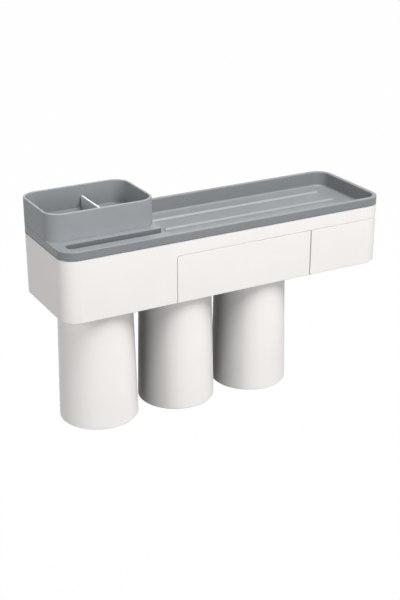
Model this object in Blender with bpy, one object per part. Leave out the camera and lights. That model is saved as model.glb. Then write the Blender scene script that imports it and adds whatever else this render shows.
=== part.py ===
"""Wall-hung toothbrush holder with a lift-out brush box, two drawers and three magnetic cups.

Metres, +Z up. X runs along the holder, the wall is the plane Y = 0 and the front faces -Y.
The origin is the middle of the adhesive pad's back. Every piece hangs from empties under
"holder_frame", which stands at the height of the housing's underside, so heights below are
counted from that underside.
"""
import math

import bmesh
import bpy
from mathutils import Vector

# Housing
LENGTH = 0.345
DEPTH = 0.1065
BODY_HEIGHT = 0.060
CORNER_RADIUS = 0.0165
SHELL = 0.0024
FLOOR = 0.0024
EDGE_ROUND = 0.0008
INNER_FILLET = 0.0010
PARTITION = 0.0020
SEAT_GAP = 0.0003

# Tray top
RIM_HEIGHT = 0.0086
RIM_WIDTH = 0.0045
BASIN_DEPTH = 0.0151
BASIN_FLOOR_THICKNESS = 0.0020
BASIN_FILLET = 0.0018
RIM_EASE = 0.0006
PLATFORM_LENGTH = 0.108
BASIN_BACK_LEFT_RADIUS = 0.006
REVEAL_DEPTH = 0.0006
REVEAL_HEIGHT = 0.0005
PLATFORM_SKIN = 0.0022
LIP_DEPTH = 0.0030
LIP_PLAY = 0.0001
SLOT_FROM_FRONT = 0.0103
SLOT_WIDTH = 0.0124
SLOT_END_MARGIN = 0.0095
SLOT_MOUTH_RADIUS = 0.0022
RIDGE_FROM_FRONT = (0.0508, 0.0790)
RIDGE_HEIGHT = 0.0020
RIDGE_WIDTH = 0.0040
RIDGE_LEFT_MARGIN = 0.0155
RIDGE_RIGHT_MARGIN = 0.0262

# Brush box and its divider
BOX_DEPTH = 0.0759
BOX_RISE = 0.0261
BOX_WALL = 0.0024
BOX_STEP = 0.0060
BOX_PLAY = 0.0005
BOX_FLOOR_CLEARANCE = 0.0020
BOX_LOWER_ROUND = 0.0030
DIVIDER_FROM_LEFT = 0.0627
DIVIDER_THICKNESS = 0.0018
DIVIDER_DROP = 0.0105
GUIDE_RIB_WIDTH = 0.0014
GUIDE_RIB_REACH = 0.0022
DIVIDER_END_PLAY = 0.0013

# Drawers
BAND_HEIGHT = 0.0131
FIXED_FRONT_OVERRUN = 0.0037
SMALL_DRAWER_WIDTH = 0.0854
SEAM = 0.0005
SEAM_BETWEEN = 0.0010
FRONT_THICKNESS = 0.0026
FRONT_EDGE_ROUND = 0.0005
FRONT_CORNER_RADIUS = 0.0025
RETURN_LENGTH = 0.0225
FINGER_GAP = 0.0085
RUNNER_HEIGHT = 0.0085
RUNNER_WIDTH = 0.0028
DRAWER_WALL = 0.0018
DRAWER_PLAY = 0.0010
DRAWER_RADIUS = 0.0030
DRAWER_TRAVEL = 0.068
DRAWER_BACK_PLAY = 0.0020
HEADER_DROP = 0.0028
HEADER_THICKNESS = 0.0020
HEADER_CLEARANCE = 0.0010
STOP_EAR_DROP = 0.0021
STOP_EAR_THICKNESS = 0.0014

# Cups
CUP_COUNT = 3
CUP_FROM_END = 0.04545
CUP_HEIGHT = 0.1148
CUP_BASE_RADIUS = 0.0354
CUP_MOUTH_RADIUS = 0.0381
CUP_SPACING = 0.0080
CUP_FROM_FRONT = 0.0400
CUP_WALL = 0.0020
CUP_BASE = 0.0025
CUP_BASE_ROUND = 0.0022
CUP_STEPS = 48

# Magnets
MAGNET_RADIUS = 0.0100
MAGNET_THICKNESS = 0.0030
MAGNET_SKIN = 0.0012
BOSS_WALL = 0.0016
RETAINER_THICKNESS = 0.0012
RETAINER_PLUG = 0.0006
SEAT_PAD_PROUD = 0.0007
COVER_THICKNESS = 0.0012
COVER_LAP = 0.0028
COVER_SINK = 0.0010
MAGNET_STEPS = 24
COVER_STEPS = 32

# Wall rail and pad
WALL_GAP = 0.0008
PAD_THICKNESS = 0.0008
PAD_MARGIN = 0.0020
RAIL_LENGTH = 0.126
RAIL_HEIGHT = 0.024
RAIL_THICKNESS = 0.0022
TONGUE_HEIGHT = 0.0080
TONGUE_THICKNESS = 0.0020
TONGUE_CHAMFER = 0.0006
TONGUE_CLEARANCE = 0.0009
HOOK_PLAY = 0.0004
LIFT_TRAVEL = 0.010
WINDOW_PLAY = 0.0020

# Smoothness of the turned corners
CORNER_STEPS = 8
SMALL_STEPS = 3
TINY_STEPS = 2
LARGE_CORNER = 0.0040
SMALL_CORNER = 0.0010
SMALLEST_RADIUS = 0.0002
OVERSHOOT = 0.005
BITE = 0.0006

# Places that follow from the sizes
BACK = -WALL_GAP
FRONT = BACK - DEPTH
LEFT = -LENGTH / 2
RIGHT = LENGTH / 2
HOUSING = (LEFT, RIGHT, FRONT, BACK)
RIM_TOP = BODY_HEIGHT + RIM_HEIGHT
TRAY_SEAT = BODY_HEIGHT + SEAT_GAP
BASIN_FLOOR = RIM_TOP - BASIN_DEPTH
BASIN_UNDERSIDE = BASIN_FLOOR - BASIN_FLOOR_THICKNESS
PLATFORM_END = LEFT + PLATFORM_LENGTH
TRAY_SKIN = RIM_WIDTH - SHELL - SEAT_GAP
BOX_FRONT = BACK - BOX_DEPTH
BOX_SEAT = RIM_TOP + SEAT_GAP
BOX_TOP = RIM_TOP + BOX_RISE
BOX = (LEFT, PLATFORM_END, BOX_FRONT, BACK)
SEAM_LEFT = PLATFORM_END + FIXED_FRONT_OVERRUN
SEAM_RIGHT = RIGHT - SMALL_DRAWER_WIDTH
DRAWER_TOP = BODY_HEIGHT - BAND_HEIGHT
HEADER_FRONT = FRONT + FRONT_THICKNESS + SEAM
HEADER_BACK = HEADER_FRONT + HEADER_THICKNESS
HEADER_TOP = BASIN_UNDERSIDE - HEADER_CLEARANCE
HEADER_BOTTOM = DRAWER_TOP - HEADER_DROP
DRAWER_WALL_TOP = HEADER_BOTTOM - SEAT_GAP
STOP_EAR_TOP = HEADER_TOP - STOP_EAR_DROP
DRAWER_BASE = RUNNER_HEIGHT + SEAT_GAP
DRAWER_FRONT = FRONT + FRONT_THICKNESS + SEAT_GAP
TONGUE_BACK = -(WALL_GAP + SHELL + HOOK_PLAY)
TONGUE_FRONT = TONGUE_BACK - TONGUE_THICKNESS
DRAWER_BACK = TONGUE_FRONT - DRAWER_BACK_PLAY
PARTITION_BACK = TONGUE_FRONT - HOOK_PLAY
PARTITION_TOP = BASIN_UNDERSIDE - SEAT_GAP
FLOOR_FRONT = FRONT + FRONT_THICKNESS + FINGER_GAP
CUP_PITCH = 2 * CUP_MOUTH_RADIUS + CUP_SPACING
CUP_Y = FRONT + CUP_FROM_FRONT
POCKET_RADIUS = MAGNET_RADIUS + SEAT_GAP
BOSS_RADIUS = POCKET_RADIUS + BOSS_WALL
BOSS_TOP = MAGNET_SKIN + SEAT_GAP + MAGNET_THICKNESS + SEAT_GAP + RETAINER_PLUG
RETAINER_TOP = BOSS_TOP + SEAT_GAP + RETAINER_THICKNESS
COVER_RADIUS = MAGNET_RADIUS + COVER_LAP
COVER_POCKET_RADIUS = COVER_RADIUS + SEAT_GAP
COVER_LEDGE = COVER_SINK + COVER_THICKNESS + SEAT_GAP
CUP_POCKET = COVER_LEDGE + MAGNET_THICKNESS + SEAT_GAP
SEAT_PAD_RADIUS = COVER_POCKET_RADIUS - BITE
BOX_BOTTOM = RETAINER_TOP + BOX_FLOOR_CLEARANCE
RAIL_TOP = BASIN_UNDERSIDE - TONGUE_CLEARANCE - TONGUE_HEIGHT
RAIL_BOTTOM = RAIL_TOP - RAIL_HEIGHT
MOUNT_HEIGHT = (RAIL_TOP + RAIL_BOTTOM) / 2
WINDOW_BOTTOM = RAIL_BOTTOM - LIFT_TRAVEL - WINDOW_PLAY

# Colours in linear light, roughness, metallic
WARM_WHITE = ((0.87, 0.84, 0.81), 0.35, 0.0)
CUP_WHITE = ((0.88, 0.85, 0.83), 0.30, 0.0)
TRAY_GREY = ((0.35, 0.375, 0.39), 0.45, 0.0)
DIVIDER_WHITE = ((0.82, 0.85, 0.86), 0.30, 0.0)
MAGNET_STEEL = ((0.55, 0.55, 0.56), 0.25, 1.0)
RAIL_GREY = ((0.62, 0.62, 0.62), 0.50, 0.0)
PAD_FOAM = ((0.10, 0.10, 0.10), 0.90, 0.0)


def clear_scene():
    for thing in list(bpy.data.objects):
        bpy.data.objects.remove(thing, do_unlink=True)


def material(name, look):
    """Principled material; look is (linear colour, roughness, metallic)."""
    made = bpy.data.materials.get(name)
    if made:
        return made
    colour, roughness, metallic = look
    made = bpy.data.materials.new(name)
    made.use_nodes = True
    shader = made.node_tree.nodes["Principled BSDF"]
    shader.inputs["Base Color"].default_value = (*colour, 1.0)
    shader.inputs["Roughness"].default_value = roughness
    shader.inputs["Metallic"].default_value = metallic
    return made


def empty(name, location, parent=None):
    made = bpy.data.objects.new(name, None)
    made.empty_display_size = 0.01
    made.location = location
    made.parent = parent
    bpy.context.collection.objects.link(made)
    return made


def add_object(name, shape, parent, look=None):
    """Turns a bmesh into an object; a piece has a look, a cutting or joining tool has none."""
    bmesh.ops.recalc_face_normals(shape, faces=shape.faces)
    mesh = bpy.data.meshes.new(name)
    shape.to_mesh(mesh)
    shape.free()
    mesh.shade_smooth()
    mesh.set_sharp_from_angle(angle=math.radians(30))
    made = bpy.data.objects.new(name, mesh)
    made.parent = parent
    bpy.context.collection.objects.link(made)
    if look is None:
        made.hide_render = True
        made.display_type = 'WIRE'
    else:
        made.data.materials.append(look)
    return made


def combine(target, tool, operation):
    change = target.modifiers.new(tool.name, 'BOOLEAN')
    change.operation = operation
    change.object = tool
    change.solver = 'EXACT'


def corner_steps(radius):
    if radius >= LARGE_CORNER:
        return CORNER_STEPS
    return SMALL_STEPS if radius >= SMALL_CORNER else TINY_STEPS


def rounded_outline(corners, steps=None):
    """Closed outline from corners (u, v, radius), each turned into an arc of so many steps."""
    points = []
    counts = steps or [corner_steps(radius) for _, _, radius in corners]
    for index, (u, v, radius) in enumerate(corners):
        here = Vector((u, v))
        following = corners[(index + 1) % len(corners)]
        before = (Vector(corners[index - 1][:2]) - here).normalized()
        after = (Vector(following[:2]) - here).normalized()
        half_angle = before.angle(after) / 2
        centre = here + (before + after).normalized() * radius / math.sin(half_angle)
        start = here + before * radius / math.tan(half_angle) - centre
        turn = math.pi - 2 * half_angle
        if before.x * after.y - before.y * after.x > 0:
            turn = -turn
        for step in range(counts[index] + 1):
            angle = turn * step / counts[index]
            cosine, sine = math.cos(angle), math.sin(angle)
            points.append((centre.x + start.x * cosine - start.y * sine,
                           centre.y + start.x * sine + start.y * cosine))
    return points


def rectangle(bounds, radii, inset=0.0):
    """Corners of a rectangle, counter-clockwise from the front left; radii shrink with the inset."""
    x0, x1, y0, y1 = bounds
    places = ((x0 + inset, y0 + inset), (x1 - inset, y0 + inset),
              (x1 - inset, y1 - inset), (x0 + inset, y1 - inset))
    return [(x, y, max(radius - inset, SMALLEST_RADIUS))
            for (x, y), radius in zip(places, radii)]


def inset_rectangle(bounds, radii, inset):
    """Rounded rectangle, smaller by the inset, with the point count that the full one has."""
    return rounded_outline(rectangle(bounds, radii, inset), [corner_steps(r) for r in radii])


def arc_profile(inset, height, radius, start, end, steps=SMALL_STEPS):
    """Points (inset, height) of an arc; angles in degrees, 0 towards the inside, 90 up."""
    points = []
    for step in range(steps + 1):
        angle = math.radians(start + (end - start) * step / steps)
        points.append((inset + radius * math.cos(angle), height + radius * math.sin(angle)))
    return points


def placed(outline, place, across):
    """Outline (u, v) set at a place along X, Y or Z; the other two axes keep their order."""
    return [{'X': (place, u, v), 'Y': (u, place, v), 'Z': (u, v, place)}[across]
            for u, v in outline]


def skin(shape, rings):
    """Closed solid over rings of equal point count, capped at the first and the last."""
    loops = [[shape.verts.new(point) for point in ring] for ring in rings]
    for lower, upper in zip(loops, loops[1:]):
        for index in range(len(lower)):
            following = (index + 1) % len(lower)
            shape.faces.new((lower[index], lower[following], upper[following], upper[index]))
    shape.faces.new(reversed(loops[0]))
    shape.faces.new(loops[-1])


def swept_shell(name, bounds, radii, profile, parent, look=None):
    """Solid swept round a rounded rectangle; profile lists (inset from the sides, height)."""
    shape = bmesh.new()
    rings = []
    for inset, height in profile:
        rings.append(placed(inset_rectangle(bounds, radii, inset), height, 'Z'))
    skin(shape, rings)
    return add_object(name, shape, parent, look)


def add_prism(shape, outline, low, high, across='Z'):
    skin(shape, [placed(outline, low, across), placed(outline, high, across)])


def prism(name, outlines, low, high, parent, look=None, across='Z'):
    shape = bmesh.new()
    for outline in outlines:
        add_prism(shape, outline, low, high, across)
    return add_object(name, shape, parent, look)


def add_block(shape, low, high):
    x0, y0, z0 = low
    x1, y1, z1 = high
    add_prism(shape, [(x0, y0), (x1, y0), (x1, y1), (x0, y1)], z0, z1)


def eased_prism(name, outline_at, profile, parent, look=None, across='Z'):
    """Solid through outline_at(inset) at every (inset, place) of the profile."""
    shape = bmesh.new()
    skin(shape, [placed(outline_at(inset), place, across) for inset, place in profile])
    return add_object(name, shape, parent, look)


def blocks(name, boxes, parent, look=None):
    shape = bmesh.new()
    for low, high in boxes:
        add_block(shape, low, high)
    return add_object(name, shape, parent, look)


def turned(name, profile, steps, parent, look=None, centres=((0.0, 0.0),)):
    """Solid of revolution about each centre; profile lists (radius, height) from pole to pole."""
    shape = bmesh.new()
    for x, y in centres:
        verts = [shape.verts.new((x + radius, y, height)) for radius, height in profile]
        edges = [shape.edges.new(pair) for pair in zip(verts, verts[1:])]
        bmesh.ops.spin(shape, geom=verts + edges, cent=(x, y, 0), axis=(0, 0, 1),
                       angle=2 * math.pi, steps=steps, use_merge=True)
    bmesh.ops.remove_doubles(shape, verts=shape.verts, dist=1e-6)
    return add_object(name, shape, parent, look)


def cup_centre(index):
    return LEFT + CUP_FROM_END + index * CUP_PITCH


def cup_centres():
    return [(cup_centre(index), CUP_Y) for index in range(CUP_COUNT)]


# Housing: open-topped shell with partitions, runners, magnet bosses and a hook window

def housing_shell(holder, look):
    profile = arc_profile(EDGE_ROUND, EDGE_ROUND, EDGE_ROUND, -90, -180)
    profile += [(0.0, BODY_HEIGHT), (SHELL, BODY_HEIGHT)]
    profile += arc_profile(SHELL + INNER_FILLET, FLOOR + INNER_FILLET, INNER_FILLET, 180, 270)
    return swept_shell("housing", HOUSING, [CORNER_RADIUS] * 4, profile, holder, look)


def partition_places():
    """Left and right faces of the walls beside the drawers."""
    left_face = SEAM_LEFT - SEAM / 2 - BITE
    return ((left_face - PARTITION, left_face),
            (SEAM_RIGHT - PARTITION / 2, SEAM_RIGHT + PARTITION / 2))


def drawer_bays():
    """Free width of the large and the small drawer's bay."""
    (_, large_left), (large_right, small_left) = partition_places()
    return (large_left, large_right), (small_left, RIGHT - SHELL)


def housing_inner_walls(holder):
    first, second = partition_places()
    low = FLOOR - BITE
    boxes = [((first[0], FRONT + SHELL - BITE, low), (first[1], PARTITION_BACK, PARTITION_TOP)),
             ((second[0], HEADER_FRONT, low), (second[1], PARTITION_BACK, PARTITION_TOP))]
    return blocks("housing_partitions", boxes, holder)


def housing_runners(holder):
    boxes = []
    for left, right in drawer_bays():
        for x0, x1 in ((left - BITE, left + RUNNER_WIDTH), (right - RUNNER_WIDTH, right + BITE)):
            boxes.append(((x0, FLOOR_FRONT - BITE, FLOOR - BITE / 2),
                          (x1, DRAWER_BACK, RUNNER_HEIGHT)))
    return blocks("housing_runners", boxes, holder)


def housing_header(holder):
    """Bar behind the band over the drawers; its lip hides the seam and stops the drawers."""
    inner = FRONT + SHELL - BITE
    outline = [(HEADER_FRONT, HEADER_BOTTOM), (HEADER_BACK, HEADER_BOTTOM),
               (HEADER_BACK, HEADER_TOP), (inner, HEADER_TOP), (inner, DRAWER_TOP + BITE),
               (HEADER_FRONT, DRAWER_TOP + BITE)]
    left = partition_places()[0][1] - BITE
    return prism("housing_header", [outline], left, RIGHT - CORNER_RADIUS, holder, across='X')


def housing_bosses(holder):
    """Ring boss over the floor and seat pad under it, one spool at each cup."""
    profile = [(0.0, -SEAT_PAD_PROUD), (SEAT_PAD_RADIUS, -SEAT_PAD_PROUD),
               (SEAT_PAD_RADIUS, FLOOR / 2), (BOSS_RADIUS, FLOOR / 2),
               (BOSS_RADIUS, BOSS_TOP), (0.0, BOSS_TOP)]
    return turned("housing_bosses", profile, CUP_STEPS, holder, centres=cup_centres())


def housing_pockets(holder):
    """Magnet pockets with room for the retainers' flanges above the bosses."""
    flange = BOSS_RADIUS + SEAT_GAP
    profile = [(0.0, MAGNET_SKIN), (POCKET_RADIUS, MAGNET_SKIN),
               (POCKET_RADIUS, BOSS_TOP + SEAT_GAP / 2), (flange, BOSS_TOP + SEAT_GAP / 2),
               (flange, RETAINER_TOP + SEAT_GAP), (0.0, RETAINER_TOP + SEAT_GAP)]
    return turned("housing_pockets", profile, MAGNET_STEPS, holder, centres=cup_centres())


def front_opening(holder):
    """Cuts the front wall away for both drawer fronts, with the large one's rounded corner."""
    left = SEAM_LEFT - SEAM / 2
    top = DRAWER_TOP + SEAM / 2
    corner = FRONT_CORNER_RADIUS + SEAM
    outline = rounded_outline([(left, -OVERSHOOT, SMALLEST_RADIUS),
                               (RIGHT + OVERSHOOT, -OVERSHOOT, SMALLEST_RADIUS),
                               (RIGHT + OVERSHOOT, top, SMALLEST_RADIUS),
                               (left, top, corner)])
    back = FRONT + FRONT_THICKNESS + SEAM - BITE / 2
    return prism("front_opening", [outline], FRONT - OVERSHOOT, back, holder, across='Y')


def return_opening(holder):
    """Cuts the right side away as far back as the small drawer's front runs round the corner."""
    top = DRAWER_TOP + SEAM / 2
    x0 = RIGHT - FRONT_THICKNESS - SEAM
    y1 = FRONT + RETURN_LENGTH + SEAM
    corner_x = RIGHT - CORNER_RADIUS
    corner_y = FRONT + CORNER_RADIUS
    reach = CORNER_RADIUS - FRONT_THICKNESS - SEAM
    outline = [(corner_x, FRONT - OVERSHOOT), (RIGHT + OVERSHOOT, FRONT - OVERSHOOT),
               (RIGHT + OVERSHOOT, y1), (x0, y1)]
    for step in range(CORNER_STEPS + 1):
        angle = -math.pi / 2 * step / CORNER_STEPS
        outline.append((corner_x + reach * math.cos(angle), corner_y + reach * math.sin(angle)))
    return prism("return_opening", [outline], -OVERSHOOT, top, holder)


def finger_opening(holder):
    """Sets the floor's front edge back behind the drawer fronts, to pull them by their lower edge."""
    outline = rounded_outline([(SEAM_LEFT - SEAM / 2, FRONT - OVERSHOOT, SMALLEST_RADIUS),
                               (RIGHT + OVERSHOOT, FRONT - OVERSHOOT, SMALLEST_RADIUS),
                               (RIGHT + OVERSHOOT, FLOOR_FRONT, SMALLEST_RADIUS),
                               (SEAM_LEFT - SEAM / 2, FLOOR_FRONT, FRONT_CORNER_RADIUS)])
    return prism("finger_opening", [outline], -OVERSHOOT, FLOOR + INNER_FILLET + BITE, holder)


def hook_window(holder):
    half = RAIL_LENGTH / 2 + WINDOW_PLAY
    low = (-half, BACK - SHELL - BITE, WINDOW_BOTTOM)
    high = (half, BACK + OVERSHOOT, RAIL_TOP + SEAT_GAP)
    return blocks("hook_window", [(low, high)], holder)


def build_housing(holder):
    look = material("warm_white_plastic", WARM_WHITE)
    housing = housing_shell(holder, look)
    for tool in (housing_inner_walls(holder), housing_runners(holder),
                 housing_header(holder), housing_bosses(holder)):
        combine(housing, tool, 'UNION')
    for tool in (housing_pockets(holder), front_opening(holder), return_opening(holder),
                 finger_opening(holder), hook_window(holder)):
        combine(housing, tool, 'DIFFERENCE')


# Tray top: rim, basin, platform and phone slot in one moulding

def basin_corners(offset):
    """Corners of the basin with the phone slot running out of it to the left, grown by an offset."""
    x0 = PLATFORM_END - offset
    x1 = RIGHT - RIM_WIDTH + offset
    y0 = FRONT + RIM_WIDTH - offset
    y1 = BACK - RIM_WIDTH + offset
    slot_low = FRONT + SLOT_FROM_FRONT - offset
    slot_high = FRONT + SLOT_FROM_FRONT + SLOT_WIDTH + offset
    slot_end = LEFT + SLOT_END_MARGIN - offset
    corner = CORNER_RADIUS - RIM_WIDTH + offset
    mouth = SLOT_MOUTH_RADIUS - offset
    slot_round = (SLOT_WIDTH / 2 + offset) * 0.98
    return [(x0, y0, SLOT_MOUTH_RADIUS + offset), (x1, y0, corner), (x1, y1, corner),
            (x0, y1, BASIN_BACK_LEFT_RADIUS + offset), (x0, slot_high, mouth),
            (slot_end, slot_high, slot_round), (slot_end, slot_low, slot_round),
            (x0, slot_low, mouth)]


def basin_outline(offset=0.0):
    steps = [corner_steps(radius) for _, _, radius in basin_corners(0.0)]
    return rounded_outline(basin_corners(offset), steps)


def basin_hollow(holder):
    """The basin and slot as a tool: filleted at the floor, eased outwards at the rim."""
    profile = arc_profile(BASIN_FILLET, BASIN_FLOOR + BASIN_FILLET, BASIN_FILLET, 270, 180)
    profile += arc_profile(-RIM_EASE, RIM_TOP - RIM_EASE, RIM_EASE, 0, 90, TINY_STEPS)
    profile.append((-RIM_EASE, RIM_TOP + OVERSHOOT))
    return eased_prism("tray_basin", lambda inset: basin_outline(-inset), profile, holder)


def tray_plate(holder, look):
    profile = [(REVEAL_DEPTH, TRAY_SEAT), (REVEAL_DEPTH, TRAY_SEAT + REVEAL_HEIGHT),
               (0.0, TRAY_SEAT + REVEAL_HEIGHT)]
    profile += arc_profile(EDGE_ROUND, RIM_TOP - EDGE_ROUND, EDGE_ROUND, 180, 90)
    return swept_shell("tray_top", HOUSING, [CORNER_RADIUS] * 4, profile, holder, look)


def box_opening_bounds():
    inset = BOX_STEP - BOX_PLAY
    return (LEFT + inset, PLATFORM_END - inset, BOX_FRONT + inset, BACK - inset)


def platform_hollows(holder):
    """Hollows the platform from below, in front of and behind the phone slot's channel."""
    x0 = LEFT + CORNER_RADIUS
    x1 = PLATFORM_END - TRAY_SKIN - PLATFORM_SKIN
    slot_low = FRONT + SLOT_FROM_FRONT - TRAY_SKIN
    slot_high = FRONT + SLOT_FROM_FRONT + SLOT_WIDTH + TRAY_SKIN
    box_low = box_opening_bounds()[2] - PLATFORM_SKIN
    top = RIM_TOP - PLATFORM_SKIN
    bottom = TRAY_SEAT - OVERSHOOT
    lip = SHELL + SEAT_GAP + LIP_PLAY + TRAY_SKIN
    return blocks("platform_hollows", [((x0, FRONT + lip, bottom), (x1, slot_low, top)),
                                       ((x0, slot_high, bottom), (x1, box_low, top))], holder)


def tray_lip(holder):
    """U-shaped lip that locates the platform end inside the housing's walls."""
    inset = SHELL + SEAT_GAP + LIP_PLAY
    outer = CORNER_RADIUS - inset
    inner = outer - TRAY_SKIN
    end = PLATFORM_END
    x0, y0, y1 = LEFT + inset, FRONT + inset, BACK - inset
    outline = rounded_outline([(end, y1, SMALLEST_RADIUS), (x0, y1, outer), (x0, y0, outer),
                               (end, y0, SMALLEST_RADIUS),
                               (end, y0 + TRAY_SKIN, SMALLEST_RADIUS),
                               (x0 + TRAY_SKIN, y0 + TRAY_SKIN, inner),
                               (x0 + TRAY_SKIN, y1 - TRAY_SKIN, inner),
                               (end, y1 - TRAY_SKIN, SMALLEST_RADIUS)])
    return prism("tray_lip", [outline], BODY_HEIGHT - LIP_DEPTH, TRAY_SEAT + BITE, holder)


def tray_ridges(holder):
    """Two low ridges with rounded ends and softened tops on the basin's floor."""
    shape = bmesh.new()
    x0 = PLATFORM_END + RIDGE_LEFT_MARGIN
    x1 = RIGHT - RIM_WIDTH - RIDGE_RIGHT_MARGIN
    for from_front in RIDGE_FROM_FRONT:
        middle = FRONT + from_front
        rings = []
        for inset, height in ((0.0, BASIN_FLOOR - BITE), (0.0, BASIN_FLOOR + RIDGE_HEIGHT / 3),
                              (RIDGE_WIDTH / 8, BASIN_FLOOR + RIDGE_HEIGHT * 0.8),
                              (RIDGE_WIDTH / 4, BASIN_FLOOR + RIDGE_HEIGHT)):
            bounds = (x0, x1, middle - RIDGE_WIDTH / 2, middle + RIDGE_WIDTH / 2)
            ends = [RIDGE_WIDTH * 0.49] * 4
            outline = rounded_outline(rectangle(bounds, ends, inset), [SMALL_STEPS] * 4)
            rings.append(placed(outline, height, 'Z'))
        skin(shape, rings)
    return add_object("tray_ridges", shape, holder)


def build_tray_top(holder):
    look = material("grey_plastic", TRAY_GREY)
    tray = tray_plate(holder, look)
    opening = rounded_outline(rectangle(box_opening_bounds(),
                                        [CORNER_RADIUS - BOX_STEP + BOX_PLAY] * 4))
    combine(tray, platform_hollows(holder), 'DIFFERENCE')
    combine(tray, tray_lip(holder), 'UNION')
    combine(tray, prism("tray_basin_body", [basin_outline(TRAY_SKIN)], BASIN_UNDERSIDE,
                        TRAY_SEAT + BITE + REVEAL_HEIGHT, holder), 'UNION')
    combine(tray, basin_hollow(holder), 'DIFFERENCE')
    combine(tray, prism("tray_box_opening", [opening], BODY_HEIGHT - OVERSHOOT,
                        RIM_TOP + OVERSHOOT, holder), 'DIFFERENCE')
    combine(tray, tray_ridges(holder), 'UNION')


# Brush box: flush upper walls, a shoulder that rests on the platform, a narrower lower part

def box_profile():
    """Sweep of the box's wall; the last ring is the inner floor."""
    lower = BOX_STEP
    round_low = BOX_LOWER_ROUND
    profile = arc_profile(lower + round_low, BOX_BOTTOM + round_low, round_low, -90, -180)
    profile += [(lower, BOX_SEAT), (0.0, BOX_SEAT)]
    profile += arc_profile(EDGE_ROUND, BOX_TOP - EDGE_ROUND, EDGE_ROUND, 180, 90)
    profile += arc_profile(BOX_WALL - EDGE_ROUND, BOX_TOP - EDGE_ROUND, EDGE_ROUND, 90, 0)
    profile += [(BOX_WALL, BOX_SEAT + BOX_WALL + INNER_FILLET), (lower + BOX_WALL, BOX_SEAT)]
    inner_round = round_low - BOX_WALL / 2
    profile += arc_profile(lower + BOX_WALL + inner_round, BOX_BOTTOM + BOX_WALL + inner_round,
                           inner_round, 180, 270)
    return profile


def guide_ribs(frame):
    """Four upright ribs in the box's lower part that hold the divider upright."""
    middle = LEFT + DIVIDER_FROM_LEFT
    near = DIVIDER_THICKNESS / 2 + SEAT_GAP
    far = near + GUIDE_RIB_WIDTH
    inner = BOX_STEP + BOX_WALL
    boxes = []
    for y0, y1 in ((BOX_FRONT + inner - BITE, BOX_FRONT + inner + GUIDE_RIB_REACH),
                   (BACK - inner - GUIDE_RIB_REACH, BACK - inner + BITE)):
        for x0, x1 in ((middle - far, middle - near), (middle + near, middle + far)):
            boxes.append(((x0, y0, BOX_BOTTOM + BOX_WALL - BITE), (x1, y1, BOX_SEAT - BOX_WALL)))
    return blocks("box_guide_ribs", boxes, frame)


def build_box(holder):
    centre = Vector(((LEFT + PLATFORM_END) / 2, (BOX_FRONT + BACK) / 2, BOX_SEAT))
    frame = empty("storage_box_lift", centre, holder)
    look = material("grey_plastic", TRAY_GREY)
    box = swept_shell("storage_box", BOX, [CORNER_RADIUS] * 4, box_profile(), frame, look)
    box.location = -centre
    ribs = guide_ribs(frame)
    ribs.location = -centre
    combine(box, ribs, 'UNION')
    return frame, centre


def build_divider(box_frame, box_centre):
    """Plate shaped to the box's section: wide above the shoulder, narrow in the lower part."""
    middle = LEFT + DIVIDER_FROM_LEFT
    frame = empty("box_divider_lift", Vector((middle, box_centre.y, BOX_SEAT)) - box_centre,
                  box_frame)
    top = BOX_TOP - DIVIDER_DROP
    shoulder = BOX_SEAT + BOX_WALL + INNER_FILLET + SEAT_GAP
    low = BOX_BOTTOM + BOX_WALL + SEAT_GAP
    narrow = BOX_STEP + BOX_WALL + DIVIDER_END_PLAY
    wide = BOX_WALL + SEAT_GAP
    y0, y1 = BOX_FRONT, BACK
    foot = BOX_LOWER_ROUND
    head = FRONT_CORNER_RADIUS
    tiny = SMALLEST_RADIUS
    neck = BOX_SEAT + SEAT_GAP
    outline = rounded_outline([(y0 + narrow, low, foot), (y1 - narrow, low, foot),
                               (y1 - narrow, neck, tiny), (y1 - wide, shoulder, tiny),
                               (y1 - wide, top, head), (y0 + wide, top, head),
                               (y0 + wide, shoulder, tiny), (y0 + narrow, neck, tiny)])
    look = material("divider_plastic", DIVIDER_WHITE)
    divider = prism("box_divider", [outline], middle - DIVIDER_THICKNESS / 2,
                    middle + DIVIDER_THICKNESS / 2, frame, look, across='X')
    divider.location = (-middle, -box_centre.y, -BOX_SEAT)


# Drawers: a flush front on an open tray that runs on two ribs and stops against the header

def drawer_tray(name, bay, radii, ear_sides, frame, origin):
    """Open tray; ears raised on its side walls (-1 left, 1 right) meet the header when it is out."""
    look = material("warm_white_plastic", WARM_WHITE)
    x0 = bay[0] + DRAWER_PLAY
    x1 = bay[1] - DRAWER_PLAY
    bounds = (x0, x1, DRAWER_FRONT, DRAWER_BACK)
    profile = [(EDGE_ROUND, DRAWER_BASE), (0.0, DRAWER_BASE + EDGE_ROUND),
               (0.0, DRAWER_WALL_TOP), (DRAWER_WALL, DRAWER_WALL_TOP),
               (DRAWER_WALL, DRAWER_BASE + DRAWER_WALL + INNER_FILLET),
               (DRAWER_WALL + INNER_FILLET, DRAWER_BASE + DRAWER_WALL)]
    tray = swept_shell(name, bounds, radii, profile, frame, look)
    ear_front = HEADER_BACK + DRAWER_TRAVEL + SEAT_GAP
    ear_back = DRAWER_BACK - max(radii)
    boxes = []
    for side in ear_sides:
        middle = (x0 + x1) / 2 + side * ((x1 - x0) / 2 - DRAWER_WALL / 2)
        boxes.append(((middle - STOP_EAR_THICKNESS / 2, ear_front, DRAWER_WALL_TOP - DRAWER_WALL),
                      (middle + STOP_EAR_THICKNESS / 2, ear_back, STOP_EAR_TOP)))
    ears = blocks(name + "_ears", boxes, frame)
    for piece in (tray, ears):
        piece.location = -origin
    combine(tray, ears, 'UNION')


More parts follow.
